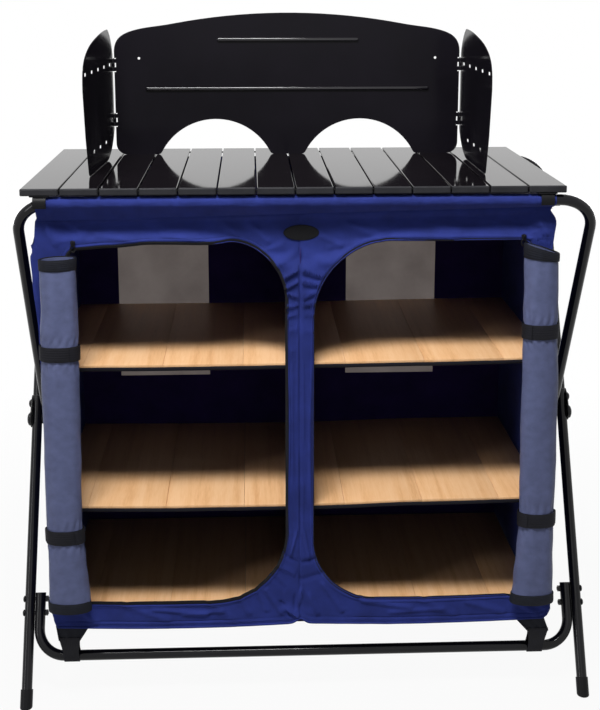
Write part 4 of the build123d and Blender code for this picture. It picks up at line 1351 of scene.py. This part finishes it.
corners = {
    "left": {"top": (-0.453, -0.394), "low": (-0.4492, -0.4128), "loop": -0.431},
    "right": {"top": (0.381, 0.433), "low": (0.4077, 0.4442), "loop": 0.426},
    "high": 0.1535, "foot": 0.1232, "footY": -0.2172, "loopWide": 0.028, "loopTop": 0.037,
    "bar": (-0.1906, 0.078), "barR": 0.0100, "flare": (0.092, 0.128), "gussetThick": 0.0014,
    "loopThick": 0.0015, "edgeR": 0.0014,
    # where each fold of a gusset stands across it, its height and half width
    "folds": ((0.35, 0.0016, 0.13), (0.72, 0.0012, 0.1)),
}


def gusset(side):
    top, low = corners[side]["top"], corners[side]["low"]

    def place(u, v):
        x = mix(mix(low[0], top[0], v), mix(low[1], top[1], v), u)
        fold = sum(hump(u - at, height, half) for at, height, half in corners["folds"])
        y = mix(corners["footY"], front["face"] - 0.0004, v) - fold * arch(clamp(v + 0.12))
        return (x, y, mix(corners["foot"], corners["high"], v))

    cloth = clothGrid("gusset", 30, 16, (0.058, 0.028), place)
    faceOut(cloth, (0, -1, 0))
    applyModifier(cloth, "SOLIDIFY", thickness=corners["gussetThick"], offset=-1.0)
    edges = []
    for u in (0.0, 1.0):
        spots = [Vector(place(u, k / 12)) + Vector((0, -0.0004, 0)) for k in range(13)]
        edges.append(cordAlong("gussetEdge", spots, corners["edgeR"]))
    return [cloth, *edges]


def gussets():
    piece = joinPieces(gusset("left") + gusset("right"), "gussets")
    smooth(piece, 50)
    finishPiece(piece, binding, "front", "webbing", "front_gussets")


def barLoops():
    # webbing from the gusset down round the bottom bar and back up, sewn to itself
    barY, barZ = corners["bar"]
    reach = corners["barR"] + 0.0006
    path = [(-0.2186, 0.1292), (-0.2178, 0.1240), (-0.2120, 0.1060), (-0.2050, 0.0900)]
    for step in range(15):
        angle = math.radians(mix(205, 385, step / 14))
        path.append((barY + reach * math.cos(angle), barZ + reach * math.sin(angle)))
    path += [(-0.1880, 0.0935), (-0.1990, 0.1060), (-0.2110, 0.1215), (-0.2146, 0.1262)]
    count = len(path) - 1
    loops = []
    for side in sides:
        middle = corners[side]["loop"]

        def place(u, v):
            y, z = path[round(u * count)]
            wide = mix(corners["loopWide"], corners["loopTop"], fade(z, *corners["flare"]))
            return (middle + mix(-0.5, 0.5, v) * wide, y, z)

        loop = clothGrid("loop", count, 10, (0.14, corners["loopWide"]), place)
        recalculate(loop)
        applyModifier(loop, "SOLIDIFY", thickness=corners["loopThick"], offset=0)
        applyModifier(loop, "BEVEL", width=0.0003, segments=2, limit_method="ANGLE")
        applyModifier(loop, "SUBSURF", levels=1, render_levels=1)
        loops.append(loop)
    piece = joinPieces(loops, "barLoops")
    smooth(piece, 50)
    finishPiece(piece, webbing, "outer_frame", "webbing", "bar_straps")


gussets()
barLoops()
print("stage: gussets and loops")


# pressed ribs that stiffen the wind shield

shieldRibs = {
    "face": 0.16920, "radius": 0.0034, "height": 0.0016,
    "rows": ((-0.160, 0.118, 1.183), (-0.301, 0.259, 1.087)),
}


def ribBeads():
    # each rib is a ball drawn out to both ends of its row and pressed flat
    radius = shieldRibs["radius"]
    beads = []
    for left, right, z in shieldRibs["rows"]:
        bead = addPrimitive(bpy.ops.mesh.primitive_uv_sphere_add, segments=32, ring_count=16, radius=1)
        half = (right - left) / 2 - radius
        for vertex in bead.data.vertices:
            x, y, up = vertex.co
            vertex.co = (
                (left + right) / 2 + math.copysign(half, x) * (abs(x) > 0.0001) + x * radius,
                shieldRibs["face"] + y * shieldRibs["height"], z + up * radius,
            )
        recalculate(bead)
        beads.append(bead)
    piece = joinPieces(beads, "shieldRibs")
    smooth(piece, 80)
    finishPiece(piece, ribEnamel, "screen", "screen_paint")


ribBeads()
print("stage: shield ribs")
